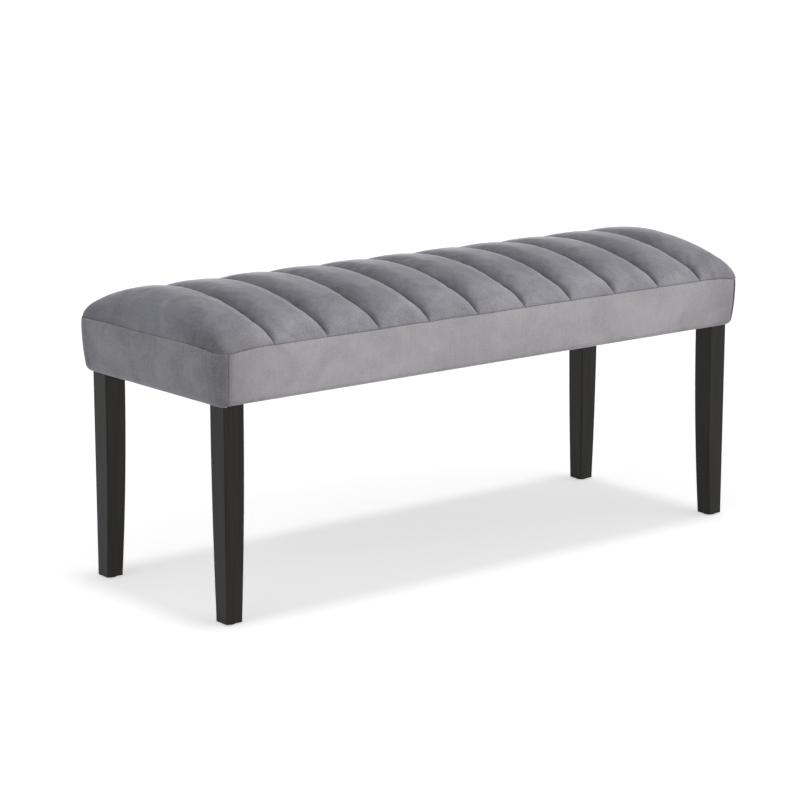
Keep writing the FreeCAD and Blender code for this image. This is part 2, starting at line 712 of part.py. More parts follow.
def arc_centre(start, heading, end):
    """The centre and radius of the arc that leaves a start along a heading and reaches an end."""
    normal = Vector(0, -heading.z, heading.y)
    chord = end - start
    radius = chord.dot(chord) / (2 * chord.dot(normal))
    return start + normal * radius, radius


def seat_outline(x, half, top, shoulder, inset, base):
    """A closed front-to-back outline of a channel: one long arc and a rounded nose at each end.

    top and shoulder are heights over the seam before the inset, which is square to the surface.
    """
    seam = measure(SEAM)
    shoulder_y = half - measure("sizes.channel_nose")
    radius = (shoulder_y ** 2 + (top - shoulder) ** 2) / (2 * (top - shoulder))
    centre = Vector(x, 0, top - radius)
    corner = Vector(x, shoulder_y, shoulder)
    outward = (corner - centre).normalize()
    heading = Vector(0, outward.z, -outward.y)
    nose, nose_radius = arc_centre(corner, heading, Vector(x, half, 0))
    nose_reach = abs(nose_radius) - inset
    foot_y = nose.y + math.sqrt(nose_reach ** 2 - (base - nose.z) ** 2)
    bend = corner - outward * inset
    foot = Vector(x, foot_y, base)
    middle = ((bend - nose) + (foot - nose)).normalize() * nose_reach + nose
    crest = Vector(x, 0, top - inset)
    lift = Vector(0, 0, seam)

    def other(point):
        return Vector(point.x, -point.y, point.z)

    edges = [
        Part.Arc(other(foot) + lift, other(middle) + lift, other(bend) + lift).toShape(),
        Part.Arc(other(bend) + lift, crest + lift, bend + lift).toShape(),
        Part.Arc(bend + lift, middle + lift, foot + lift).toShape(),
        Part.LineSegment(foot + lift, other(foot) + lift).toShape(),
    ]
    return Part.Wire(edges)


def end_fall(share):
    """The share of its height that the crown keeps, from the crest of an end channel to the end."""
    full = measure("sizes.crown_rise + sizes.channel_swell")
    lip = measure("sizes.end_lip") / full
    return math.sqrt(1 - share ** 2 * (1 - lip ** 2))


def half_width(x):
    """Half the width of the seat at one place along it, less where the corners are round."""
    round_start = measure(f"{SEAT_X} - sizes.corner_round")
    radius = measure("sizes.corner_round")
    past = min(max(abs(x) - round_start, 0), radius)
    return measure(SEAT_Y) - radius + math.sqrt(radius ** 2 - past ** 2)


def channel_solid(index, inset, base):
    """One channel at a depth under the velvet's outer face, standing on a height over the seam."""
    count = int(measure("sizes.channel_count"))
    pitch = measure("sizes.seat_length") / count
    middle = (index - (count - 1) / 2) * pitch
    reach = pitch / 2 - inset
    centre, radius = crown()
    shoulder_y = measure(f"{SEAT_Y} - sizes.channel_nose")
    outer_end = {0: -1, count - 1: 1}.get(index, 0)
    stations = [(share, 1) for share in CHANNEL_SHARES if share * outer_end <= 0]
    stations += [(outer_end * share, end_fall(share)) for share in END_SHARES if outer_end]
    outlines = []
    for share, fall in sorted(stations):
        on_end = share * outer_end > 0
        swell = measure("sizes.channel_swell") * (1 if on_end else 1 - abs(share) ** SWELL_POWER)
        top = (measure("sizes.crown_rise") + swell) * fall
        shoulder = (centre + math.sqrt((radius + swell) ** 2 - shoulder_y ** 2)) * fall
        half = half_width(middle + share * pitch / 2)
        outlines.append(seat_outline(middle + share * reach, half, top, shoulder, inset, base))
    return Part.makeLoft(outlines, True, False)


def foam_block(growth):
    """The crowned foam on the seat board, grown by a clearance, with rounded-down ends."""
    seam = measure(SEAM)
    foot = measure(BOARD_TOP) - growth
    depth = measure("sizes.foam_cover") - growth
    centre, radius = crown()
    pitch = measure("sizes.seat_length / sizes.channel_count")
    start = measure(SEAT_X) - pitch / 2
    end = measure(FRAME_X) + growth
    half = measure(FRAME_Y) + growth

    def outline(x, fall):
        top = seam + measure("sizes.crown_rise") * fall - depth
        edge = seam + (centre + math.sqrt(radius ** 2 - half ** 2)) * fall - depth
        low_left = Vector(x, -half, foot)
        low_right = Vector(x, half, foot)
        left = Vector(x, -half, edge)
        right = Vector(x, half, edge)
        return Part.Wire([
            Part.LineSegment(low_left, left).toShape(),
            Part.Arc(left, Vector(x, 0, top), right).toShape(),
            Part.LineSegment(right, low_right).toShape(),
            Part.LineSegment(low_right, low_left).toShape(),
        ])

    spans = [Part.makeLoft([outline(-start, 1), outline(start, 1)], True, True)]
    for side in (-1, 1):
        stations = [(start + (end - start) * share, share) for share in FOAM_END_SHARES]
        falls = [math.sqrt(1 - (share * (end - start) / (pitch / 2)) ** 2) for _, share in stations]
        outlines = [outline(side * x, fall) for (x, _), fall in zip(stations, falls)]
        spans.append(Part.makeLoft(outlines, True, False))
    return spans[0].multiFuse(spans[1:]).removeSplitter()


def channelled_seat():
    """The foam, the fibre fill of each channel, and the velvet panel sewn down between them."""
    velvet = measure("sizes.velvet_thickness")
    gap = measure("sizes.cloth_gap")
    foam = foam_block(0)
    room = foam_block(gap)
    keep("seat_foam", shaped("seat_foam", foam))
    skins = []
    for index in range(int(measure("sizes.channel_count"))):
        outer = channel_solid(index, 0, 0)
        skins.append(outer.cut(channel_solid(index, velvet, 0)))
        name = f"channel_fill_{index + 1:02d}"
        keep(name, shaped(name, channel_solid(index, velvet + gap, gap).cut(room)))
    panel = skins[0].multiFuse(skins[1:]).cut(room).removeSplitter()
    keep("top_panel", shaped("top_panel", panel))


channelled_seat()
doc.recompute()

for item in doc.Objects:
    if "Invalid" in item.State or "Error" in item.State:
        raise RuntimeError(f"{item.Label}: {item.State}")
for piece in pieces:
    if piece.Shape.isNull() or not piece.Shape.isValid():
        raise RuntimeError(f"{piece.Label}: no valid solid")
os.makedirs("parts", exist_ok=True)
for piece in pieces:
    piece.Shape.exportStep(f"parts/{piece.Label}.step")
    print(f"{piece.Label}: {len(piece.Shape.Solids)} solids, {piece.Shape.Volume / 1000:.1f} cm3")
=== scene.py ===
# %% [markdown]
# # A dining bench with a channelled velvet seat
# This lesson dresses a bench whose wooden frame, legs and fastenings are already drawn as exact solids.
# Those solids are loaded as a fixed frame: everything made here is placed by their corners, in metres.
# The hard pieces keep their shape and get a finish. The soft pieces, which are velvet over foam and fibre,
# are modelled again as cloth, because cloth swells, puckers and rolls in at its seams.

# %% Load the frame and keep its box
import math
import bmesh
import bpy
from mathutils import Matrix, Vector, noise


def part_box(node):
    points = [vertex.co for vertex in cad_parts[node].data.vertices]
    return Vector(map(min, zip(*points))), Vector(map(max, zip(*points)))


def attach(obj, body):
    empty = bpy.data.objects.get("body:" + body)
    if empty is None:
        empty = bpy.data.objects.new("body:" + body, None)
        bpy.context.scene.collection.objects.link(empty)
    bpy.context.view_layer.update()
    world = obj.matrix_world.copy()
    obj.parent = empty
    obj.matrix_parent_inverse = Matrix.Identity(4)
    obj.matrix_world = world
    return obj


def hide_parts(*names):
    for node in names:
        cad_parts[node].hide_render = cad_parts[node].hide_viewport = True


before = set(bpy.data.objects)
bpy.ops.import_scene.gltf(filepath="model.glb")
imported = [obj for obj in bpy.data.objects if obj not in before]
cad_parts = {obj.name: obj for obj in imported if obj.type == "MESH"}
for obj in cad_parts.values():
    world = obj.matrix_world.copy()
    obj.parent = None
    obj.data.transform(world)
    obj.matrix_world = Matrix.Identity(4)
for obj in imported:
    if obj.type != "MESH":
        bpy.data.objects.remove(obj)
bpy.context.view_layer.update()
MM = 0.001
scene = bpy.context.scene

# %% [markdown]
# ## The camera
# The bench was seen from its front left, a little above the seat, through a long lens. A long lens far away
# keeps the legs nearly parallel. The place, the turn and the lens were found by lining up the feet and the
# seams of the solids with the picture, so they are plain values here.

# %% The camera
CAMERA_PLACE = (-2.669, -3.221, 1.154)
LOOK_DOWN = 12.23
LOOK_RIGHT = 39.11
LENS = 115.4
SENSOR = 36.0

camera_data = bpy.data.cameras.new("camera")
camera_data.lens = LENS
camera_data.sensor_width = SENSOR
camera = bpy.data.objects.new("camera", camera_data)
camera.location = CAMERA_PLACE
camera.rotation_euler = (math.radians(90 - LOOK_DOWN), 0, math.radians(-LOOK_RIGHT))
scene.collection.objects.link(camera)
scene.camera = camera
print("camera", camera.location[:], "lens", LENS)

# %% [markdown]
# ## The sizes that the soft pieces follow
# A soft piece must sit where the solid that it stands for sits, so its sizes are read from the frame: the
# box of the top panel gives the seam all round the seat, and the boxing's box gives the hem under it.

# %% Sizes read from the frame
top_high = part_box("top_panel")[1]
HALF_LENGTH = top_high.x
HALF_WIDTH = top_high.y
TOP_Z = top_high.z
boxing_low, boxing_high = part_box("front_boxing")
SEAM_Z = boxing_high.z
HEM_Z = boxing_low.z
CHANNELS = sum(name.startswith("channel_fill_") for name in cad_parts)
PITCH = 2 * HALF_LENGTH / CHANNELS
UPRIGHT_SEAM = boxing_high.x
CORNER = 25 * MM
print("seam at", round(SEAM_Z, 4), "hem at", round(HEM_Z, 4), "channels", CHANNELS, "of", round(PITCH, 4))

# %% [markdown]
# ## Small helpers
# Operators act on whatever is selected, so every step starts by clearing the selection. The other helpers
# turn lists of points into an object and add a modifier that is applied at once, as by hand.


# %% Helpers
def only(piece):
    """Select one piece and make it active."""
    bpy.ops.object.select_all(action="DESELECT")
    piece.select_set(True)
    bpy.context.view_layer.objects.active = piece


def sewn_mesh(name, points, faces):
    """An object made of points and faces, at the origin."""
    mesh = bpy.data.meshes.new(name)
    mesh.from_pydata(points, [], faces)
    mesh.update()
    piece = bpy.data.objects.new(name, mesh)
    scene.collection.objects.link(piece)
    return piece


def applied(piece, kind, **settings):
    """Add a modifier with these settings and apply it."""
    only(piece)
    modifier = piece.modifiers.new(kind.lower(), kind)
    for key, value in settings.items():
        setattr(modifier, key, value)
    bpy.ops.object.modifier_apply(modifier=modifier.name)


def grid_faces(columns, rows):
    """The quads of a grid whose points are listed column by column."""
    return [
        (c * rows + r, (c + 1) * rows + r, (c + 1) * rows + r + 1, c * rows + r + 1)
        for c in range(columns - 1)
        for r in range(rows - 1)
    ]


def smooth_step(value):
    """Ease from 0 to 1, flat at both ends."""
    share = min(max(value, 0.0), 1.0)
    return share * share * (3 - 2 * share)


print("helpers ready")

# %% [markdown]
# ## The crowned, channelled top
# The top panel is one piece of velvet, quilted into eleven channels by ten rows of stitches that run from
# front to back. Each channel is stuffed with fibre and the whole lies over a crowned block of foam. A
# sculpted surface could copy this, but stuffing a cloth bag gives truer swellings, so the panel starts a
# little slack, its stitched lines are pinned, and air pressure fills it.

# %% Sizes of the slack top
VALLEY_RISE = 51 * MM
SWELL = TOP_Z - SEAM_Z - VALLEY_RISE
SLACK_SHARE = 0.82
SWELL_POWER = 3.8
NOSE = 25 * MM
SHOULDER = 7 * MM
ARC_RISE = VALLEY_RISE - SHOULDER
STITCH_PULL = 6.5 * MM
PULL_REACH = 8 * MM
END_POWER = 2.5
SEAM_TUCK = 0.9 * MM
EAR_CORNER = 20 * MM
CORNER_DROP = 5 * MM
BACK_DROP = 1 * MM
CORNER_REACH = 45 * MM
SEAM_WANDER = 1.0 * MM
WANDER_SCALE = 14
WANDER_SEED = 4.2
CROWN_RADIUS = (HALF_WIDTH**2 + ARC_RISE**2) / (2 * ARC_RISE)
END_CREST = HALF_LENGTH - PITCH / 2
print("valleys rise", VALLEY_RISE, "channels swell", round(SWELL, 4))


# %% The outline and the seam of the top
def crown(y):
    """Height of the valleys above the shoulder of the seat, an arc from front to back."""
    return math.sqrt(CROWN_RADIUS**2 - y**2) - (CROWN_RADIUS - ARC_RISE)


def half_width(x):
    """Half the width of the panel at x, drawn in round the corners."""
    over = abs(x) - (HALF_LENGTH - EAR_CORNER)
    if over <= 0:
        return HALF_WIDTH
    return HALF_WIDTH - EAR_CORNER + math.sqrt(max(EAR_CORNER**2 - over**2, 0))


def seam_drop(x, y):
    """How far the seam hangs below its level: it dips at the corners and wanders a little."""
    from_corner = HALF_LENGTH - abs(x) + HALF_WIDTH - abs(y)
    dip = (CORNER_DROP if y < 0 else BACK_DROP) * math.exp(-((from_corner / CORNER_REACH) ** 2))
    spot = Vector((x * WANDER_SCALE, y * WANDER_SCALE, WANDER_SEED))
    return dip + SEAM_WANDER * noise.noise(spot)


print("corners of the seam hang", CORNER_DROP, "in front and", BACK_DROP, "behind")


# %% The height of the slack top
def swell_shape(x, across):
    """How full a channel is at x, from 0 in the valley to 1 at its crest."""
    if abs(x) > END_CREST:
        return 1.0
    return 1 - abs(across) ** SWELL_POWER


def seat_height(x, y):
    """Height of the slack panel above the seam."""
    side = y / half_width(x) * HALF_WIDTH
    from_seam = HALF_WIDTH - abs(side)
    nose = math.sqrt(max(1 - max(1 - from_seam / NOSE, 0) ** 2, 0))
    middle = (math.floor((x + HALF_LENGTH) / PITCH) + 0.5) * PITCH - HALF_LENGTH
    across = 2 * (x - middle) / PITCH
    height = crown(side) + (SHOULDER + SLACK_SHARE * SWELL * swell_shape(x, across)) * nose
    end_share = max(abs(x) - END_CREST, 0) / (HALF_LENGTH - END_CREST)
    height *= max(1 - end_share**END_POWER, 0) ** (1 / END_POWER)
    if abs(x) < END_CREST:
        from_valley = (1 - abs(across)) * PITCH / 2
        height -= STITCH_PULL * max(1 - from_valley / PULL_REACH, 0) ** 2 * nose
    return max(height, 0)


def bunched(steps, share):
    """Places from -1 to 1, closer together towards both ends."""
    places = [-1 + 2 * i / steps for i in range(steps + 1)]
    return [(1 - share) * p + share * math.sin(math.pi * p / 2) for p in places]


print("crest at the middle", round(seat_height(0, 0), 4), "above the seam")

# %% Lay out the panel
CHANNEL_STEPS = 20
WIDTH_STEPS = 76
BUNCHING = 0.45

columns = [-HALF_LENGTH]
valley_columns = []
for channel in range(CHANNELS):
    middle = (channel + 0.5) * PITCH - HALF_LENGTH
    columns += [middle + PITCH / 2 * place for place in bunched(CHANNEL_STEPS, BUNCHING)[1:]]
    valley_columns.append(len(columns) - 1)
valley_columns.pop()
rows = bunched(WIDTH_STEPS, BUNCHING)

points = []
for x in columns:
    for row in rows:
        drawn_x = x * (HALF_LENGTH - SEAM_TUCK) / HALF_LENGTH
        y = row * (half_width(x) - SEAM_TUCK)
        z = SEAM_Z + seat_height(x, row * half_width(x)) - seam_drop(drawn_x, y)
        points.append((drawn_x, y, z))
velvet_top = sewn_mesh("velvet_top", points, grid_faces(len(columns), len(rows)))
print("panel laid out:", len(points), "points")

# %% Pin the stitched lines and the seam
sewn = velvet_top.vertex_groups.new(name="sewn")
row_count = len(rows)
pinned = set()
for row in range(row_count):
    pinned.update(column * row_count + row for column in [0, len(columns) - 1] + valley_columns)
for column in range(len(columns)):
    pinned.update((column * row_count, column * row_count + row_count - 1))
sewn.add(sorted(pinned), 1.0, "REPLACE")
print("pinned", len(pinned), "points")

# %% Fill the channels
FRAMES = 20
PRESSURE = 4.0
CLOTH_QUALITY = 6
CLOTH_MASS = 0.004
CLOTH_STIFFNESS = 18
CLOTH_SHEAR = 6
CLOTH_BENDING = 0.3
CLOTH_GROWTH = 0.007
MOST_MOVE = 8 * MM

start = [vertex.co.copy() for vertex in velvet_top.data.vertices]
stuffing = velvet_top.modifiers.new("stuffing", "CLOTH")
stuffing.settings.quality = CLOTH_QUALITY
stuffing.settings.mass = CLOTH_MASS
stuffing.settings.tension_stiffness = CLOTH_STIFFNESS
stuffing.settings.compression_stiffness = CLOTH_STIFFNESS
stuffing.settings.shear_stiffness = CLOTH_SHEAR
stuffing.settings.bending_stiffness = CLOTH_BENDING
stuffing.settings.shrink_min = -CLOTH_GROWTH
stuffing.settings.use_pressure = True
stuffing.settings.uniform_pressure_force = PRESSURE
stuffing.settings.effector_weights.gravity = 0
stuffing.settings.vertex_group_mass = sewn.name
stuffing.collision_settings.use_collision = False
for step in range(1, FRAMES + 1):
    scene.frame_set(step)
only(velvet_top)
bpy.ops.object.modifier_apply(modifier=stuffing.name)
farthest = 0.0
for vertex, before in zip(velvet_top.data.vertices, start):
    move = vertex.co - before
    farthest = max(farthest, move.length)
    if move.length > MOST_MOVE:
        vertex.co = before + move * (MOST_MOVE / move.length)
scene.frame_set(1)
print("stuffed, farthest move", round(farthest, 4))
print("top of the panel", round(max(v.co.z for v in velvet_top.data.vertices), 4))

# %% [markdown]
# ## Sharp valleys and a puckered seam
# A row of stitches holds the velvet in a sharp crease, so those edges keep their crease when the mesh is
# subdivided. Along the outer seam the thread gathers the cloth a little: fine ripples, strongest at the
# seam and gone within a finger's width. The velvet is given painted shade along the valleys and at the
# corners of the end channels, and painted light on the outer slopes of the end channels and towards the
# front and back seams. An attribute of each point keeps that, and the velvet reads it later as darker or
# paler cloth.

# %% Crease and subdivide the panel
VALLEY_CREASE = 0.9

crease = velvet_top.data.attributes.new("crease_edge", "FLOAT", "EDGE")
on_valley = {column * row_count + row for column in valley_columns for row in range(row_count)}
for edge in velvet_top.data.edges:
    if on_valley.issuperset(edge.vertices):
        crease.data[edge.index].value = VALLEY_CREASE
applied(velvet_top, "SUBSURF", levels=1, render_levels=1)
print("subdivided:", len(velvet_top.data.polygons), "faces")

# %% Pucker the cloth towards the seam
PUCKER = 0.45 * MM
PUCKER_LENGTH = 7.5 * MM
PUCKER_REACH = 9 * MM
SHIFT_SCALE = 18
SHIFT_TURN = 2.6
GATHER_SCALE = 31
GATHER_MIDDLE = 0.55
GATHER_CHANGE = 0.45


def pucker(along, away):
    """Ripple of the gathered cloth at a place along the seam and a distance away from it."""
    shift = noise.noise(Vector((along * SHIFT_SCALE, 3.1, 0.7))) * SHIFT_TURN
    gather = noise.noise(Vector((along * GATHER_SCALE, 8.4, 2.2)))
    strength = GATHER_MIDDLE + GATHER_CHANGE * gather
    ripple = math.sin(2 * math.pi * along / PUCKER_LENGTH + shift)
    return PUCKER * strength * ripple * math.exp(-away / PUCKER_REACH)


normals = [vertex.normal.copy() for vertex in velvet_top.data.vertices]
for vertex, normal in zip(velvet_top.data.vertices, normals):
    to_side = half_width(vertex.co.x) - abs(vertex.co.y)
    to_end = HALF_LENGTH - abs(vertex.co.x)
    along = vertex.co.x if to_side < to_end else vertex.co.y
    vertex.co += normal * pucker(along, min(max(to_side, 0), max(to_end, 0)))
velvet_top.data.update()
only(velvet_top)
bpy.ops.object.shade_smooth()
print("puckered the seam edge of the top")

# %% Mark the painted shade and painted light on the top
# Reaches and strengths of the painted shade and painted light on the top.
VALLEY_SHADE_REACH = 2.6 * MM
END_SLOPE_LIGHT = 1.4
SIDE_SLOPE_LIGHT = 0.58
SLOPE_START = 0.55
CORNER_SHADE = 0.12
CORNER_SHADE_REACH = 140 * MM

# One value per point: above 0 is painted shade, below 0 is painted light.
painted_shade_and_light = velvet_top.data.attributes.new("painted_shade_and_light", "FLOAT", "POINT")
valley_places = [columns[column] for column in valley_columns]
for vertex in velvet_top.data.vertices:
    from_valley = min(abs(vertex.co.x - place) for place in valley_places)
    end_slope = smooth_step((abs(vertex.co.x) - END_CREST) / (HALF_LENGTH - END_CREST))
    side_slope = smooth_step((abs(vertex.co.y) / HALF_WIDTH - SLOPE_START) / (1 - SLOPE_START))
    painted_light = max(END_SLOPE_LIGHT * end_slope, SIDE_SLOPE_LIGHT * side_slope)
    # Near the corners of the end channels the painted light gives way to a little painted shade.
    from_corner = HALF_LENGTH - abs(vertex.co.x) + HALF_WIDTH - abs(vertex.co.y)
    in_end_channel = smooth_step(2 * (abs(vertex.co.x) - HALF_LENGTH + PITCH) / PITCH)
    held = in_end_channel * math.exp(-((from_corner / CORNER_SHADE_REACH) ** 2))
    painted_shading = math.exp(-((from_valley / VALLEY_SHADE_REACH) ** 2)) + CORNER_SHADE * held
    painted_shade_and_light.data[vertex.index].value = painted_shading - painted_light * (1 - held)
print("pile pressed along", len(valley_places), "valleys and at the corners")

# %% Close the panel with a lid underneath
LID_DROP = 5 * MM
LID_INSET = 4 * MM

only(velvet_top)
bpy.ops.object.mode_set(mode="EDIT")
bpy.ops.mesh.select_all(action="DESELECT")
bpy.ops.mesh.select_mode(type="EDGE")
bpy.ops.mesh.select_non_manifold(extend=False, use_wire=False, use_multi_face=False, use_verts=False)
bpy.ops.mesh.extrude_region_move(TRANSFORM_OT_translate={"value": (0, 0, -LID_DROP)})
lid_scale = (1 - LID_INSET / HALF_LENGTH, 1 - LID_INSET / HALF_WIDTH, 1)
bpy.ops.transform.resize(value=lid_scale, center_override=(0, 0, 0))
bpy.ops.mesh.edge_face_add()
bpy.ops.mesh.select_all(action="SELECT")
bpy.ops.mesh.normals_make_consistent(inside=False)
bpy.ops.object.mode_set(mode="OBJECT")
print("closed panel:", len(velvet_top.data.polygons), "faces")

# %% [markdown]
# ## The boxing
# Four strips of velvet close the sides: a long one in front, a long one behind, and one round each end that
# wraps the corners as far as an upright seam. Each strip rolls in under the top seam, hangs over soft foam,
# turns round the hem and is pulled flat under the frame. A strip is a grid of points along the outline of
# the seat, moved in and down row by row, with the thickness of cloth added afterwards.

# %% The section of the boxing
SIDE_DRAW = 5 * MM
HEM_ROUND = 12 * MM
TURN_UNDER = 42 * MM
BOXING_TUCK = 1.3 * MM
TUCK_REACH = 4 * MM
SOFT_BULGE = 1.2 * MM
VELVET = 1.6 * MM
WALL_ROWS = 26
WALL_BUNCHING = 0.5
HEM_ROWS = 7
UNDER_ROWS = 5


def boxing_section():
    """Pairs of inset and height, from the top seam down and round under the frame."""
    section = []
    wall_foot = HEM_Z + HEM_ROUND
    for place in bunched(WALL_ROWS, WALL_BUNCHING):
        share = (place + 1) / 2
        z = SEAM_Z + (wall_foot - SEAM_Z) * share
        tuck = BOXING_TUCK * math.exp(-(SEAM_Z - z) / TUCK_REACH)
        section.append((SIDE_DRAW * share + tuck - SOFT_BULGE * math.sin(math.pi * share), z))
    for row in range(1, HEM_ROWS + 1):
        turn = math.pi / 2 * row / HEM_ROWS
        inset = SIDE_DRAW + HEM_ROUND * (1 - math.cos(turn))
        section.append((inset, wall_foot - HEM_ROUND * math.sin(turn)))
    for row in range(1, UNDER_ROWS + 1):
        reach = (TURN_UNDER - HEM_ROUND) * row / UNDER_ROWS
        section.append((SIDE_DRAW + HEM_ROUND + reach, HEM_Z))
    return section


SECTION = boxing_section()
print("boxing section of", len(SECTION), "points")


# %% Points along the outline of the seat
SEAM_TURN = math.asin((UPRIGHT_SEAM - HALF_LENGTH + CORNER) / CORNER)
FRONT_STRAIGHT = HALF_LENGTH - CORNER
END_STRAIGHT = HALF_WIDTH - CORNER
FRONT_LENGTH = 2 * (FRONT_STRAIGHT + CORNER * SEAM_TURN)
END_LENGTH = 2 * (END_STRAIGHT + CORNER * (math.pi / 2 - SEAM_TURN))


def corner_point(turn, inset):
    """Point and outward direction on the front right corner, turned from the front to the end."""
    radius = max(CORNER - inset, 0)
    out = Vector((math.sin(turn), -math.cos(turn), 0))
    centre = Vector((HALF_LENGTH - inset - radius, inset + radius - HALF_WIDTH, 0))
    return centre + out * radius, out


def along_front(share, inset):
    """Point and outward direction on the front, from one upright seam to the other."""
    travel = (share - 0.5) * FRONT_LENGTH
    side = math.copysign(1, travel)
    place, out = corner_point(max(abs(travel) - FRONT_STRAIGHT, 0) / CORNER, inset)
    along = min(abs(travel) / FRONT_STRAIGHT, 1)
    return Vector((place.x * side * along, place.y, 0)), Vector((out.x * side, out.y, 0))


def along_end(share, inset):
    """Point and outward direction round the right end, from its front seam to its back seam."""
    travel = (share - 0.5) * END_LENGTH
    side = math.copysign(1, travel)
    place, out = corner_point(math.pi / 2 - max(abs(travel) - END_STRAIGHT, 0) / CORNER, inset)
    along = min(abs(travel) / END_STRAIGHT, 1)
    return Vector((place.x, -place.y * side * along, 0)), Vector((out.x, -out.y * side, 0))


print("outline of", round(2 * (FRONT_LENGTH + END_LENGTH), 3), "m")

# %% Where the boxing is painted darker
# Painted shade beside the upright seams, along the seam lines and towards the hem.
FRONT_SEAM_SHADE = 0.6
FRONT_SEAM_SHADE_REACH = 60 * MM
END_SEAM_SHADE = 0.75
END_SEAM_SHADE_REACH = 28 * MM
SEAM_LINE_SHADE = 0.35
SEAM_LINE_SHADE_REACH = 2.2 * MM
HEM_SHADE = 0.22
HEM_SHADE_REACH = 14 * MM


def painted_boxing_shade(outline, from_edge, z):
    """How much painted shade a strip gets: beside its upright seams, in the seams and at the hem."""
    strength, reach = FRONT_SEAM_SHADE, FRONT_SEAM_SHADE_REACH
    if outline is along_end:
        strength, reach = END_SEAM_SHADE, END_SEAM_SHADE_REACH
    beside = strength * math.exp(-from_edge / reach)
    seam_line_shade = SEAM_LINE_SHADE * math.exp(-from_edge / SEAM_LINE_SHADE_REACH)
    return beside + seam_line_shade + HEM_SHADE * math.exp(-(z - HEM_Z) / HEM_SHADE_REACH)


# Prints the strengths of the painted shade beside the upright seams.
print("pile pressed", FRONT_SEAM_SHADE, "beside the long strips' seams and", END_SEAM_SHADE, "beside the ends'")

# %% Sew one boxing strip
BOXING_STEP = 4 * MM
WAVE = 0.7 * MM
WAVE_SCALE = 13.0
WAVE_UPRIGHT = 1.6
EDGE_REACH = 9 * MM
EDGE_ROLL = 1.3 * MM
ROLL_REACH = 1.8 * MM
ALLOWANCE = 6 * MM
FRONT_TUCK = 0.4 * MM
END_TUCK = -1.4 * MM
WELD = 0.01 * MM


def boxing_strip(name, outline, length, edge_tuck, turned):
    """A strip of boxing along an outline, rolled in at its upright seams, turned half round if asked."""
    shares = [(place + 1) / 2 for place in bunched(round(length / BOXING_STEP), BUNCHING)]
    way = -1 if turned else 1
    strip_points = []
    painted_shading = []
    for column, share in enumerate([0] + shares + [1]):
        from_edge = min(share, 1 - share) * length
        tucked = edge_tuck * math.exp(-from_edge / EDGE_REACH)
        tucked += EDGE_ROLL * math.exp(-from_edge / ROLL_REACH)
        if column in (0, len(shares) + 1):
            tucked += ALLOWANCE
        for inset, z in SECTION:
            place, out = outline(share, inset)
            on_wall = smooth_step((z - HEM_Z) / (2 * HEM_ROUND))
            held = smooth_step((SEAM_Z - z) / (2 * PUCKER_REACH))
            spot = Vector((place.x, place.y, z * WAVE_UPRIGHT)) * WAVE_SCALE
            wave = WAVE * noise.noise(spot) * held
            ripple = pucker(share * length - length / 2, SEAM_Z - z)
            place = (place + out * (wave + ripple - tucked) * on_wall) * way
            drop = seam_drop(place.x, place.y) * (z - HEM_Z) / (SEAM_Z - HEM_Z)
            strip_points.append((place.x, place.y, z - drop))
            painted_shading.append(painted_boxing_shade(outline, from_edge, z))
    strip = sewn_mesh(name, strip_points, grid_faces(len(shares) + 2, len(SECTION)))
    # The strip carries its painted shade as a point attribute.
    strip.data.attributes.new("painted_shade_and_light", "FLOAT", "POINT").data.foreach_set("value", painted_shading)
    only(strip)
    bpy.ops.object.mode_set(mode="EDIT")
    bpy.ops.mesh.select_all(action="SELECT")
    bpy.ops.mesh.remove_doubles(threshold=WELD)
    bpy.ops.object.mode_set(mode="OBJECT")
    middle = min(strip.data.polygons, key=lambda f: abs(f.center.z - (SEAM_Z + HEM_Z) / 2))
    if middle.normal.dot(Vector((middle.center.x, middle.center.y, 0))) < 0:
        strip.data.flip_normals()
    applied(strip, "SOLIDIFY", thickness=VELVET, offset=-1.0)
    only(strip)
    bpy.ops.object.shade_smooth()
    print(name, "faces", len(strip.data.polygons))
    return strip


print("strips are waved by", WAVE, "and rolled in by", EDGE_ROLL)

# %% Sew the four strips
boxing = {
    "front": boxing_strip("front_velvet_boxing", along_front, FRONT_LENGTH, FRONT_TUCK, False),
    "back": boxing_strip("back_velvet_boxing", along_front, FRONT_LENGTH, FRONT_TUCK, True),
    "right_end": boxing_strip("right_velvet_boxing", along_end, END_LENGTH, END_TUCK, False),
    "left_end": boxing_strip("left_velvet_boxing", along_end, END_LENGTH, END_TUCK, True),
}
print("sewn", len(boxing), "strips")

# %% [markdown]
# ## The stitches
# The seam under the channels and the four upright seams are closed with dark thread. One stitch is modelled
# by hand, a short rod with rounded ends. It is then repeated along the seams in a single mesh, because
# hundreds of separate objects would only slow the scene down.

# %% Model one stitch
STITCH = 3.0 * MM
STITCH_RADIUS = 0.42 * MM
STITCH_STEP = 4.8 * MM
STITCH_SIDES = 6
STITCH_ROUND = 0.45 * STITCH_RADIUS
SMOOTH_ANGLE = math.radians(40)

bpy.ops.object.select_all(action="DESELECT")
bpy.ops.mesh.primitive_cylinder_add(vertices=STITCH_SIDES, radius=STITCH_RADIUS, depth=STITCH)
stitch = bpy.context.object
stitch.rotation_euler = (0, math.pi / 2, 0)
bpy.ops.object.transform_apply(location=True, rotation=True, scale=True)
bpy.ops.object.mode_set(mode="EDIT")
bpy.ops.mesh.select_all(action="SELECT")
bpy.ops.mesh.bevel(offset=STITCH_ROUND, segments=1, affect="EDGES", clamp_overlap=True)
bpy.ops.object.mode_set(mode="OBJECT")
stitch_mesh = stitch.data.copy()
bpy.data.objects.remove(stitch)
print("one stitch has", len(stitch_mesh.polygons), "faces")

# %% Where the stitches lie
SEAM_INSET = 0.6 * MM
NUDGE = 0.25 * MM
NUDGE_SCALE = 90


def stitch_frame(place, forward, out):
    """Matrix that lays a stitch at a place, along the seam."""
    up = out.cross(forward).normalized()
    turn = Matrix((forward, out, up)).transposed().to_4x4()
    return Matrix.Translation(place) @ turn


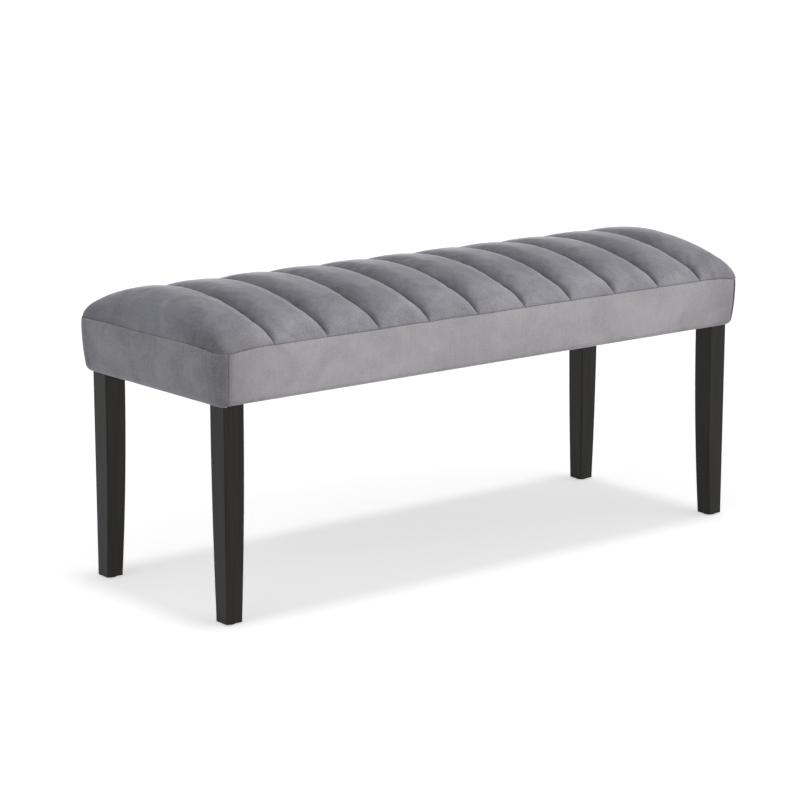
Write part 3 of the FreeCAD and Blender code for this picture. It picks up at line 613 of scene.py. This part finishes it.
def stitch_places():
    """Where each stitch lies on the top seam and on the upright seams."""
    for outline, length in ((along_front, FRONT_LENGTH), (along_end, END_LENGTH)):
        count = round(length / STITCH_STEP)
        for index in range(count):
            share = (index + 0.5) / count
            place, out = outline(share, SEAM_INSET)
            nudge = NUDGE * noise.noise(Vector((share * length * NUDGE_SCALE, 1.7, 5.0)))
            place = place + out * nudge
            forward = out.cross(Vector((0, 0, 1))).normalized()
            for turned in (1, -1):
                spot = place * turned
                spot.z = SEAM_Z + nudge - seam_drop(spot.x, spot.y)
                yield stitch_frame(spot, forward * turned, out * turned)
    wall = [(inset, z) for inset, z in SECTION if HEM_Z + HEM_ROUND < z < SEAM_Z - TUCK_REACH]
    count = round((wall[0][1] - wall[-1][1]) / STITCH_STEP)
    for index in range(count):
        share = (index + 0.5) / count * (len(wall) - 1)
        below = min(int(share), len(wall) - 2)
        inset, z = Vector(wall[below]).lerp(Vector(wall[below + 1]), share - below)
        place, out = along_front(1.0, inset)
        for side in (1, -1):
            for turned in (1, -1):
                drop = seam_drop(place.x * side, place.y * turned) * (z - HEM_Z) / (SEAM_Z - HEM_Z)
                sunk = place - out * (FRONT_TUCK + EDGE_ROLL / 2)
                spot = Vector((sunk.x * side, sunk.y * turned, z - drop))
                yield stitch_frame(spot, Vector((0, 0, 1)), Vector((out.x * side, out.y * turned, 0)))


places = list(stitch_places())
print("places for", len(places), "stitches")

# %% Repeat the stitch along the seams
seam_mesh = bmesh.new()
for matrix in places:
    one = stitch_mesh.copy()
    one.transform(matrix)
    seam_mesh.from_mesh(one)
    bpy.data.meshes.remove(one)
seam_stitches = sewn_mesh("seam_stitches", [], [])
seam_mesh.to_mesh(seam_stitches.data)
seam_mesh.free()
only(seam_stitches)
bpy.ops.object.shade_smooth_by_angle(angle=SMOOTH_ANGLE)
print("stitches:", len(seam_stitches.data.polygons), "faces")

# %% [markdown]
# ## The dust cover
# Under the frame a thin black cloth is stapled over the turned-in velvet. It is stretched, but between the
# rails it still hangs a hair lower, and small folds run from staple to staple. It is drawn as a flat sheet
# that sags within its own thickness of slack.

# %% Stretch the dust cover
dust_low, dust_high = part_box("dust_cover")
DUST_STEP = 6 * MM
DUST_CLOTH = 0.5 * MM
DUST_SAG = 1.4 * MM
DUST_FOLD = 0.3 * MM
FOLD_LENGTHWISE = 9
FOLD_ACROSS = 26
FOLD_FADE = 4

dust_size = dust_high - dust_low
dust_columns = round(dust_size.x / DUST_STEP)
dust_rows = round(dust_size.y / DUST_STEP)
bpy.ops.object.select_all(action="DESELECT")
bpy.ops.mesh.primitive_grid_add(x_subdivisions=dust_columns, y_subdivisions=dust_rows, size=1)
dust_cloth = bpy.context.object
dust_cloth.name = "dust_cloth"
dust_cloth.dimensions = (dust_size.x, dust_size.y, 0)
bpy.ops.object.transform_apply(location=True, rotation=True, scale=True)
for vertex in dust_cloth.data.vertices:
    x, y, _ = vertex.co
    edge_x = max(1 - (2 * x / dust_size.x) ** 2, 0)
    edge_y = max(1 - (2 * y / dust_size.y) ** 2, 0)
    sag = math.sqrt(edge_x) * edge_y * DUST_SAG
    fold = noise.noise(Vector((x * FOLD_LENGTHWISE, y * FOLD_ACROSS, 0.3))) * DUST_FOLD
    loose = min(1, FOLD_FADE * edge_x * edge_y)
    vertex.co.z = dust_high.z - DUST_FOLD - sag + fold * loose
applied(dust_cloth, "SOLIDIFY", thickness=DUST_CLOTH, offset=0)
only(dust_cloth)
bpy.ops.object.shade_smooth_by_angle(angle=SMOOTH_ANGLE)
print("dust cloth", [round(v, 4) for v in dust_cloth.dimensions])

# %% [markdown]
# ## Finishes
# Three effects are shared by several finishes, so each is a node group with named inputs: brushed pile for
# the velvet, wood grain for the legs and the frame, and handling marks for what is smooth. A group gives
# out only colours and heights, and every material keeps its own shader.


# %% Helpers for nodes
def add_node(tree, kind, inputs=None, **settings):
    """A node with its settings and the values of its inputs."""
    node = tree.nodes.new(kind)
    for key, value in settings.items():
        setattr(node, key, value)
    for key, value in (inputs or {}).items():
        node.inputs[key].default_value = value
    return node


def scaled_noise(tree, vector, scale, detail=2.0, roughness=0.5, distortion=0.0):
    """Noise on a vector that is stretched by a scale along each axis."""
    mapping = add_node(tree, "ShaderNodeMapping", {"Scale": scale})
    tree.links.new(vector, mapping.inputs["Vector"])
    values = {"Scale": 1.0, "Detail": detail, "Roughness": roughness, "Distortion": distortion}
    texture = add_node(tree, "ShaderNodeTexNoise", values)
    tree.links.new(mapping.outputs["Vector"], texture.inputs["Vector"])
    return texture.outputs["Fac"]


def ramped(tree, value, low, high, start=0.0, end=1.0):
    """Map a value from low and high to start and end, eased."""
    limits = {"From Min": low, "From Max": high, "To Min": start, "To Max": end}
    node = add_node(tree, "ShaderNodeMapRange", limits, interpolation_type="SMOOTHSTEP")
    tree.links.new(value, node.inputs["Value"])
    return node.outputs["Result"]


print("node helpers ready")


# %% Helpers that combine values and colours
def math_of(tree, operation, first, second):
    """Combine two values, either of which may be a plain number."""
    node = add_node(tree, "ShaderNodeMath", operation=operation)
    for socket, value in zip(node.inputs, (first, second)):
        if isinstance(value, (int, float)):
            socket.default_value = value
        else:
            tree.links.new(value, socket)
    return node.outputs["Value"]


def plain_colour(tree, tone):
    """The socket of one plain colour."""
    node = add_node(tree, "ShaderNodeRGB")
    node.outputs["Color"].default_value = tone
    return node.outputs["Color"]


def mixed(tree, share, first, second):
    """Mix two colours by a share."""
    node = add_node(tree, "ShaderNodeMix", data_type="RGBA")
    tree.links.new(share, node.inputs["Factor"])
    tree.links.new(first, node.inputs["A"])
    tree.links.new(second, node.inputs["B"])
    return node.outputs["Result"]


def new_group(name, inputs, outputs):
    """An empty node group with named sockets, and its two end nodes."""
    group = bpy.data.node_groups.new(name, "ShaderNodeTree")
    for socket, kind in inputs.items():
        group.interface.new_socket(socket, in_out="INPUT", socket_type=kind)
    for socket, kind in outputs.items():
        group.interface.new_socket(socket, in_out="OUTPUT", socket_type=kind)
    return group, group.nodes.new("NodeGroupInput"), group.nodes.new("NodeGroupOutput")


print("helpers for values, colours and groups ready")

# %% [markdown]
# ### Brushed pile
# Velvet is a forest of short fibres. Where a hand has brushed them one way they look pale, and the other
# way dark, so the colour has soft patches the size of a palm, fine streaks along the nap, and a grain as
# small as the fibres themselves. The streaks and the grain also roughen the surface a little. Seen face on,
# the eye looks down between the fibres, so velvet is darker there than where it turns away.

# %% The brushed pile group
VALUE = "NodeSocketFloat"
COLOUR = "NodeSocketColor"
VECTOR = "NodeSocketVector"

PATCH_SCALE = (11, 13, 15)
SMALL_SCALE = (46, 38, 46)
FIBRE_SCALE = (520, 520, 520)
UNSCALED = (1, 1, 1)
SMALL_SHARE = 0.4
STREAK_SHARE = 0.3
STREAK_RELIEF = 0.5
FIBRE_MIDDLE = 0.5
PATCH_MIDDLE = 0.7
BASE_TONE = 0.36
PILE_ROUGH = 0.92
PILE_SLEEK = 0.78

pile_inputs = {"Vector": VECTOR, "Dark": COLOUR, "Light": COLOUR}
pile_inputs.update({"Nap": VECTOR, "Grain": VALUE, "Brushing": VALUE})
pile_outputs = {"Colour": COLOUR, "Height": VALUE, "Roughness": VALUE}
brushed_pile, pile_in, pile_out = new_group("brushed_pile", pile_inputs, pile_outputs)
tree = brushed_pile
place = pile_in.outputs["Vector"]
patches = scaled_noise(tree, place, PATCH_SCALE, 3.0, 0.55, 0.9)
patches = ramped(tree, patches, 0.36, 0.66)
small_patches = scaled_noise(tree, place, SMALL_SCALE, 2.0, 0.5, 0.6)
small_patches = ramped(tree, small_patches, 0.3, 0.7)
nap = add_node(tree, "ShaderNodeVectorMath", operation="MULTIPLY")
tree.links.new(place, nap.inputs[0])
tree.links.new(pile_in.outputs["Nap"], nap.inputs[1])
streaks = scaled_noise(tree, nap.outputs["Vector"], UNSCALED, 2.0, 0.6)
fibres = scaled_noise(tree, place, FIBRE_SCALE, 3.0, 0.65)
grain = math_of(tree, "SUBTRACT", fibres, FIBRE_MIDDLE)
grain = math_of(tree, "MULTIPLY", grain, pile_in.outputs["Grain"])
shade = math_of(tree, "ADD", math_of(tree, "MULTIPLY", small_patches, SMALL_SHARE), patches)
shade = math_of(tree, "SUBTRACT", shade, PATCH_MIDDLE)
shade = math_of(tree, "MULTIPLY", shade, pile_in.outputs["Brushing"])
shade = math_of(tree, "ADD", shade, math_of(tree, "MULTIPLY", streaks, STREAK_SHARE))
shade = math_of(tree, "ADD", math_of(tree, "ADD", shade, grain), BASE_TONE)
tone = mixed(tree, shade, pile_in.outputs["Dark"], pile_in.outputs["Light"])
height = math_of(tree, "ADD", math_of(tree, "MULTIPLY", streaks, STREAK_RELIEF), fibres)
tree.links.new(tone, pile_out.inputs["Colour"])
tree.links.new(height, pile_out.inputs["Height"])
tree.links.new(ramped(tree, patches, 0, 1, PILE_ROUGH, PILE_SLEEK), pile_out.inputs["Roughness"])
print("brushed pile group:", len(brushed_pile.nodes), "nodes")

# %% [markdown]
# ### Wood grain and handling marks
# Under black lacquer the grain of the wood still shows as faint long lines, and bare pine shows it plainly,
# so one group serves both. Handling marks are the cloudy polish that hands and cloths leave on anything
# smooth: they change only how sharply it shines.

# %% The wood grain group
BAND_SHARE = 0.7
PORE_SHARE = 0.3
PORE_SCALE = (4, 4, 2)

grain_inputs = {"Vector": VECTOR, "Dark": COLOUR, "Light": COLOUR, "Stretch": VECTOR}
grain_outputs = {"Colour": COLOUR, "Height": VALUE}
wood_grain, grain_in, grain_out = new_group("wood_grain", grain_inputs, grain_outputs)
tree = wood_grain
stretch = add_node(tree, "ShaderNodeVectorMath", operation="MULTIPLY")
tree.links.new(grain_in.outputs["Vector"], stretch.inputs[0])
tree.links.new(grain_in.outputs["Stretch"], stretch.inputs[1])
bands = scaled_noise(tree, stretch.outputs["Vector"], UNSCALED, 3.0, 0.5, 0.2)
bands = ramped(tree, bands, 0.3, 0.7, 0, BAND_SHARE)
pores = scaled_noise(tree, stretch.outputs["Vector"], PORE_SCALE, 2.0, 0.5)
grain = math_of(tree, "ADD", bands, math_of(tree, "MULTIPLY", pores, PORE_SHARE))
tone = mixed(tree, grain, grain_in.outputs["Dark"], grain_in.outputs["Light"])
tree.links.new(tone, grain_out.inputs["Colour"])
tree.links.new(grain, grain_out.inputs["Height"])
print("wood grain group:", len(wood_grain.nodes), "nodes")

# %% The handling marks group
CLOUD_SCALE = (30, 30, 14)
SPECK_SCALE = (420, 420, 420)

marks_inputs = {"Vector": VECTOR, "Smooth": VALUE, "Dull": VALUE}
marks_outputs = {"Roughness": VALUE, "Height": VALUE, "Mask": VALUE}
handling_marks, marks_in, marks_out = new_group("handling_marks", marks_inputs, marks_outputs)
tree = handling_marks
clouds = scaled_noise(tree, marks_in.outputs["Vector"], CLOUD_SCALE, 3.0, 0.6, 0.5)
clouds = ramped(tree, clouds, 0.32, 0.68)
specks = scaled_noise(tree, marks_in.outputs["Vector"], SPECK_SCALE, 2.0, 0.5)
span = math_of(tree, "SUBTRACT", marks_in.outputs["Dull"], marks_in.outputs["Smooth"])
rough = math_of(tree, "ADD", marks_in.outputs["Smooth"], math_of(tree, "MULTIPLY", span, clouds))
tree.links.new(rough, marks_out.inputs["Roughness"])
tree.links.new(specks, marks_out.inputs["Height"])
tree.links.new(clouds, marks_out.inputs["Mask"])
print("handling marks group:", len(handling_marks.nodes), "nodes")


# %% Materials from the groups
def new_material(name):
    """A material with an empty tree, its shader and its object coordinates."""
    material = bpy.data.materials.new(name)
    material.use_nodes = True
    tree = material.node_tree
    shader = tree.nodes["Principled BSDF"]
    place = add_node(tree, "ShaderNodeTexCoord").outputs["Object"]
    return material, tree, shader, place


def add_group(tree, group, place, **inputs):
    """A node group in a material, reading object coordinates, with its own values."""
    node = add_node(tree, "ShaderNodeGroup", node_tree=group)
    tree.links.new(place, node.inputs["Vector"])
    for key, value in inputs.items():
        node.inputs[key].default_value = value
    return node


def add_bump(tree, shader, height, strength, distance):
    """Raise the surface by a height."""
    bump = add_node(tree, "ShaderNodeBump", {"Strength": strength, "Distance": distance})
    tree.links.new(height, bump.inputs["Height"])
    tree.links.new(bump.outputs["Normal"], shader.inputs["Normal"])


print("material helpers ready")

# %% A velvet finish
FACE_ON = 0.84
GRAZING = 1.04
TURN_START = 0.05
TURN_END = 0.8
PAINTED_SHADING_STRENGTH = 0.5
PILE_BUMP = 0.35
PILE_DEPTH = 0.4 * MM
PILE_SHINE = 0.15
SHEEN = 1.0
SHEEN_SPREAD = 0.26
SHEEN_TINT = (0.86, 0.87, 0.9, 1)


def velvet(name, **looks):
    """Grey velvet, darker face on, with painted shade and painted light from a point attribute, and its nap
    along one axis.
    """
    material, tree, shader, place = new_material(name)
    pile = add_group(tree, brushed_pile, place, **looks)
    turned = add_node(tree, "ShaderNodeLayerWeight", {"Blend": 0.5}).outputs["Facing"]
    lift = ramped(tree, turned, TURN_START, TURN_END, FACE_ON, GRAZING)
    # The point attribute holds painted shade and painted light, which scale the colour.
    painted_shading = add_node(tree, "ShaderNodeAttribute", attribute_name="painted_shade_and_light").outputs["Fac"]
    painted_shading_factor = math_of(tree, "SUBTRACT", 1, math_of(tree, "MULTIPLY", painted_shading, PAINTED_SHADING_STRENGTH))
    lift = math_of(tree, "MULTIPLY", lift, painted_shading_factor)
    shaded = add_node(tree, "ShaderNodeVectorMath", operation="SCALE")
    tree.links.new(pile.outputs["Colour"], shaded.inputs[0])
    tree.links.new(lift, shaded.inputs["Scale"])
    tree.links.new(shaded.outputs["Vector"], shader.inputs["Base Color"])
    tree.links.new(pile.outputs["Roughness"], shader.inputs["Roughness"])
    add_bump(tree, shader, pile.outputs["Height"], PILE_BUMP, PILE_DEPTH)
    shader.inputs["Specular IOR Level"].default_value = PILE_SHINE
    shader.inputs["Sheen Weight"].default_value = SHEEN
    shader.inputs["Sheen Roughness"].default_value = SHEEN_SPREAD
    shader.inputs["Sheen Tint"].default_value = SHEEN_TINT
    return material


print("velvet is shaded from", FACE_ON, "face on to", GRAZING, "turned away")

# %% The three velvets: one velvet in three tones of painted light and shade
# One grey velvet in three tones, as painted light and shade: the top is painted darker than the strips, and
# each tone is set for how the lamps fall on its face.
top_velvet_painted_shade = velvet(
    "velvet_channels_painted_shade",
    Dark=(0.132, 0.131, 0.147, 1),
    Light=(0.292, 0.287, 0.315, 1),
    Nap=(260, 14, 260),
    Grain=1.25,
    Brushing=0.24,
)
long_velvet_painted_light = velvet(
    "velvet_boxing_painted_light",
    Dark=(0.28, 0.27, 0.284, 1),
    Light=(0.5, 0.484, 0.507, 1),
    Nap=(300, 300, 10),
    Grain=1.0,
    Brushing=0.2,
)
end_velvet_painted_light = velvet(
    "velvet_ends_painted_light",
    Dark=(0.228, 0.224, 0.24, 1),
    Light=(0.456, 0.447, 0.475, 1),
    Nap=(200, 200, 12),
    Grain=1.7,
    Brushing=0.26,
)
print("velvet finishes made")


# %% Helpers for the hard finishes
GRAIN_DEPTH = 0.3 * MM
MARK_BUMP = 0.15
MARK_DEPTH = 0.1 * MM


def wood(name, tones, stretch, smooth, dull, shine, relief):
    """Wood whose grain runs along the axis that is stretched least."""
    material, tree, shader, place = new_material(name)
    grain = add_group(tree, wood_grain, place, Dark=tones[0], Light=tones[1], Stretch=stretch)
    marks = add_group(tree, handling_marks, place, Smooth=smooth, Dull=dull)
    tree.links.new(grain.outputs["Colour"], shader.inputs["Base Color"])
    tree.links.new(marks.outputs["Roughness"], shader.inputs["Roughness"])
    add_bump(tree, shader, grain.outputs["Height"], relief, GRAIN_DEPTH)
    shader.inputs["Specular IOR Level"].default_value = shine
    return material


def smooth_finish(name, tones, smooth, dull, metal):
    """A smooth moulded or plated finish with handling marks."""
    material, tree, shader, place = new_material(name)
    marks = add_group(tree, handling_marks, place, Smooth=smooth, Dull=dull)
    ends = [plain_colour(tree, tone) for tone in tones]
    tone = mixed(tree, marks.outputs["Mask"], *ends)
    tree.links.new(tone, shader.inputs["Base Color"])
    tree.links.new(marks.outputs["Roughness"], shader.inputs["Roughness"])
    add_bump(tree, shader, marks.outputs["Height"], MARK_BUMP, MARK_DEPTH)
    shader.inputs["Metallic"].default_value = metal
    return material


print("hard finish helpers ready")

# %% Finishes of the hard pieces
LACQUER = ((0.007, 0.0064, 0.0054, 1), (0.014, 0.0128, 0.011, 1))
PINE = ((0.42, 0.27, 0.14, 1), (0.62, 0.45, 0.27, 1))
PLY = ((0.46, 0.33, 0.2, 1), (0.66, 0.52, 0.36, 1))
NYLON = ((0.02, 0.02, 0.021, 1), (0.04, 0.04, 0.041, 1))
ZINC = ((0.5, 0.5, 0.5, 1), (0.7, 0.7, 0.69, 1))
THREAD = ((0.02, 0.02, 0.023, 1), (0.05, 0.05, 0.055, 1))

SATIN = {"smooth": 0.28, "dull": 0.36, "shine": 0.21, "relief": 0.03}
PLANED = {"smooth": 0.55, "dull": 0.75, "shine": 0.4, "relief": 0.12}
SANDED = {"smooth": 0.6, "dull": 0.8, "shine": 0.4, "relief": 0.12}

black_lacquer = wood("black_lacquer", LACQUER, (160, 160, 7), **SATIN)
pine_x = wood("pine_along", PINE, (7, 160, 160), **PLANED)
pine_y = wood("pine_across", PINE, (160, 7, 160), **PLANED)
plywood = wood("plywood", PLY, (5, 60, 400), **SANDED)
nylon = smooth_finish("black_nylon", NYLON, smooth=0.4, dull=0.6, metal=0.0)
zinc_steel = smooth_finish("zinc_steel", ZINC, smooth=0.25, dull=0.5, metal=1.0)
thread = smooth_finish("dark_thread", THREAD, smooth=0.7, dull=0.9, metal=0.0)
print("hard finishes made")

# %% [markdown]
# ### Dust cloth
# The dust cover is bonded fibre, not woven: a black felt with a small pressed pattern of dots. It reuses
# the brushed pile in near black, and adds the pressed dots as a fine regular cell texture.

# %% The dust cloth
DOTS = {"Scale": 420.0, "Randomness": 0.15}
DOT_BUMP = 0.4
DOT_DEPTH = 0.3 * MM

material, tree, shader, place = new_material("dust_cloth")
felt_looks = {"Dark": (0.008, 0.008, 0.009, 1), "Light": (0.03, 0.03, 0.032, 1)}
felt_looks.update({"Nap": (300, 300, 300), "Grain": 1.0, "Brushing": 0.06})
felt = add_group(tree, brushed_pile, place, **felt_looks)
dots = add_node(tree, "ShaderNodeTexVoronoi", DOTS)
tree.links.new(place, dots.inputs["Vector"])
tree.links.new(felt.outputs["Colour"], shader.inputs["Base Color"])
tree.links.new(felt.outputs["Roughness"], shader.inputs["Roughness"])
add_bump(tree, shader, dots.outputs["Distance"], DOT_BUMP, DOT_DEPTH)
dust_felt = material
print("dust cloth made")

# %% [markdown]
# ## Put each finish on its piece
# The pieces that stay from the frame get their finish by the start of their name. Each new piece is
# attached to the body it rides on, and the solids that it stands for are hidden.

# %% Finish the pieces of the frame
FRAME_FINISHES = {
    "leg_dowels": pine_x,
    "leg_": black_lacquer,
    "glide_": nylon,
    "corner_block_": pine_y,
    "front_rail": pine_x,
    "back_rail": pine_x,
    "left_": pine_y,
    "right_": pine_y,
    "seat_board": plywood,
    "hanger_bolts": zinc_steel,
    "tee_nuts": zinc_steel,
    "staples": zinc_steel,
    "frame_screws": zinc_steel,
    "block_screws": zinc_steel,
    "board_screws": zinc_steel,
}


def finish_piece(piece, finish):
    """Give a piece one finish."""
    piece.data.materials.clear()
    piece.data.materials.append(finish)


finished = 0
for name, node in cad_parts.items():
    match = next((start for start in FRAME_FINISHES if name.startswith(start)), None)
    if match:
        finish_piece(node, FRAME_FINISHES[match])
        finished += 1
print("finished", finished, "pieces of the frame")

# %% Dress the new pieces
fills = [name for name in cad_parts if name.startswith("channel_fill_")]
finish_piece(velvet_top, top_velvet_painted_shade)
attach(velvet_top, "root")
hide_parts("top_panel", "seat_foam", *fills)

for side, strip in boxing.items():
    finish_piece(strip, end_velvet_painted_light if side.endswith("_end") else long_velvet_painted_light)
    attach(strip, "root")
    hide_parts(side + "_boxing", side.replace("_end", "") + "_edge_foam")

finish_piece(seam_stitches, thread)
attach(seam_stitches, "root")

finish_piece(dust_cloth, dust_felt)
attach(dust_cloth, "root")
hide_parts("dust_cover")
print("dressed the top, the stitches, the dust cover and", len(boxing), "strips of boxing")

# %% [markdown]
# ## Floor and light
# The bench stands on a white floor in soft studio light. A wide lamp in front and to the right makes the
# long side the palest. It throws no shadow, so the floor behind the bench stays white. A small lamp high
# above throws the one shadow that shows, and a weak lamp on the left lifts the near end. The floor adds a
# little white of its own for the camera, so that it reads as white paper and still takes the shadow.

# %% The floor
FLOOR_SIZE = 80.0
FLOOR_PAPER = 0.65
SEEN_PAPER = 0.95
FLOOR_GLOW = 0.265
FLOOR_ROUGH = 0.9
WHITE = (1, 1, 1, 1)

bpy.ops.object.select_all(action="DESELECT")
bpy.ops.mesh.primitive_plane_add(size=FLOOR_SIZE, location=(0, 0, 0))
floor = bpy.context.object
floor.name = "floor"
material, tree, shader, place = new_material("white_floor")
shader.inputs["Roughness"].default_value = FLOOR_ROUGH
shader.inputs["Specular IOR Level"].default_value = 0.0
shader.inputs["Emission Color"].default_value = WHITE
seen = add_node(tree, "ShaderNodeLightPath")
shown = math_of(tree, "MAXIMUM", seen.outputs["Is Camera Ray"], seen.outputs["Is Glossy Ray"])
shown = math_of(tree, "MAXIMUM", shown, seen.outputs["Is Transmission Ray"])
glow = math_of(tree, "MULTIPLY", shown, FLOOR_GLOW)
paper = math_of(tree, "MULTIPLY_ADD", shown, SEEN_PAPER - FLOOR_PAPER)
paper.node.inputs[2].default_value = FLOOR_PAPER
tree.links.new(paper, shader.inputs["Base Color"])
tree.links.new(glow, shader.inputs["Emission Strength"])
finish_piece(floor, material)
print("floor", FLOOR_SIZE)

# %% The room
ROOM_LIGHT = 0.24
ROOM_TINT = (0.95, 0.965, 1.0, 1)

world = bpy.data.worlds.new("room")
scene.world = world
world.use_nodes = True
tree = world.node_tree
room = tree.nodes["Background"]
seen = add_node(tree, "ShaderNodeLightPath")
to_camera = seen.outputs["Is Camera Ray"]
tint = mixed(tree, to_camera, plain_colour(tree, ROOM_TINT), plain_colour(tree, WHITE))
tree.links.new(tint, room.inputs["Color"])
white = math_of(tree, "MAXIMUM", to_camera, seen.outputs["Is Transmission Ray"])
white = math_of(tree, "MAXIMUM", white, seen.outputs["Is Glossy Ray"])
strength = math_of(tree, "MULTIPLY_ADD", white, 1 - ROOM_LIGHT)
strength.node.inputs[2].default_value = ROOM_LIGHT
tree.links.new(strength, room.inputs["Strength"])
print("room light", ROOM_LIGHT)

# %% The lamps
WARM = (1.0, 0.975, 0.955)
CLEAR = (0.97, 0.98, 1.0)
COOL = (0.95, 0.97, 1.0)


def wide_lamp(name, toward, strength, softness, colour, fill=False):
    """A far lamp shining from a direction. A fill lamp throws no shadow and shows in no reflection."""
    data = bpy.data.lights.new(name, "SUN")
    data.energy = strength * math.pi
    data.angle = math.radians(softness)
    data.color = colour
    data.use_shadow = not fill
    lamp = bpy.data.objects.new(name, data)
    lamp.rotation_euler = Vector(toward).to_track_quat("Z", "Y").to_euler()
    lamp.visible_glossy = not fill
    scene.collection.objects.link(lamp)


wide_lamp("front_lamp", (0.5, -0.75, 0.42), strength=0.85, softness=60, colour=WARM, fill=True)
wide_lamp("high_lamp", (0.04, -0.02, 1.0), strength=0.2, softness=9, colour=CLEAR)
wide_lamp("left_lamp", (-0.9, -0.2, 0.35), strength=0.2, softness=60, colour=COOL)
print("lamps:", len(bpy.data.lights))

# %% [markdown]
# ## Colours as written
# The colours are shown as written, with no film look.

# %% Finish
scene.view_settings.view_transform = "Standard"
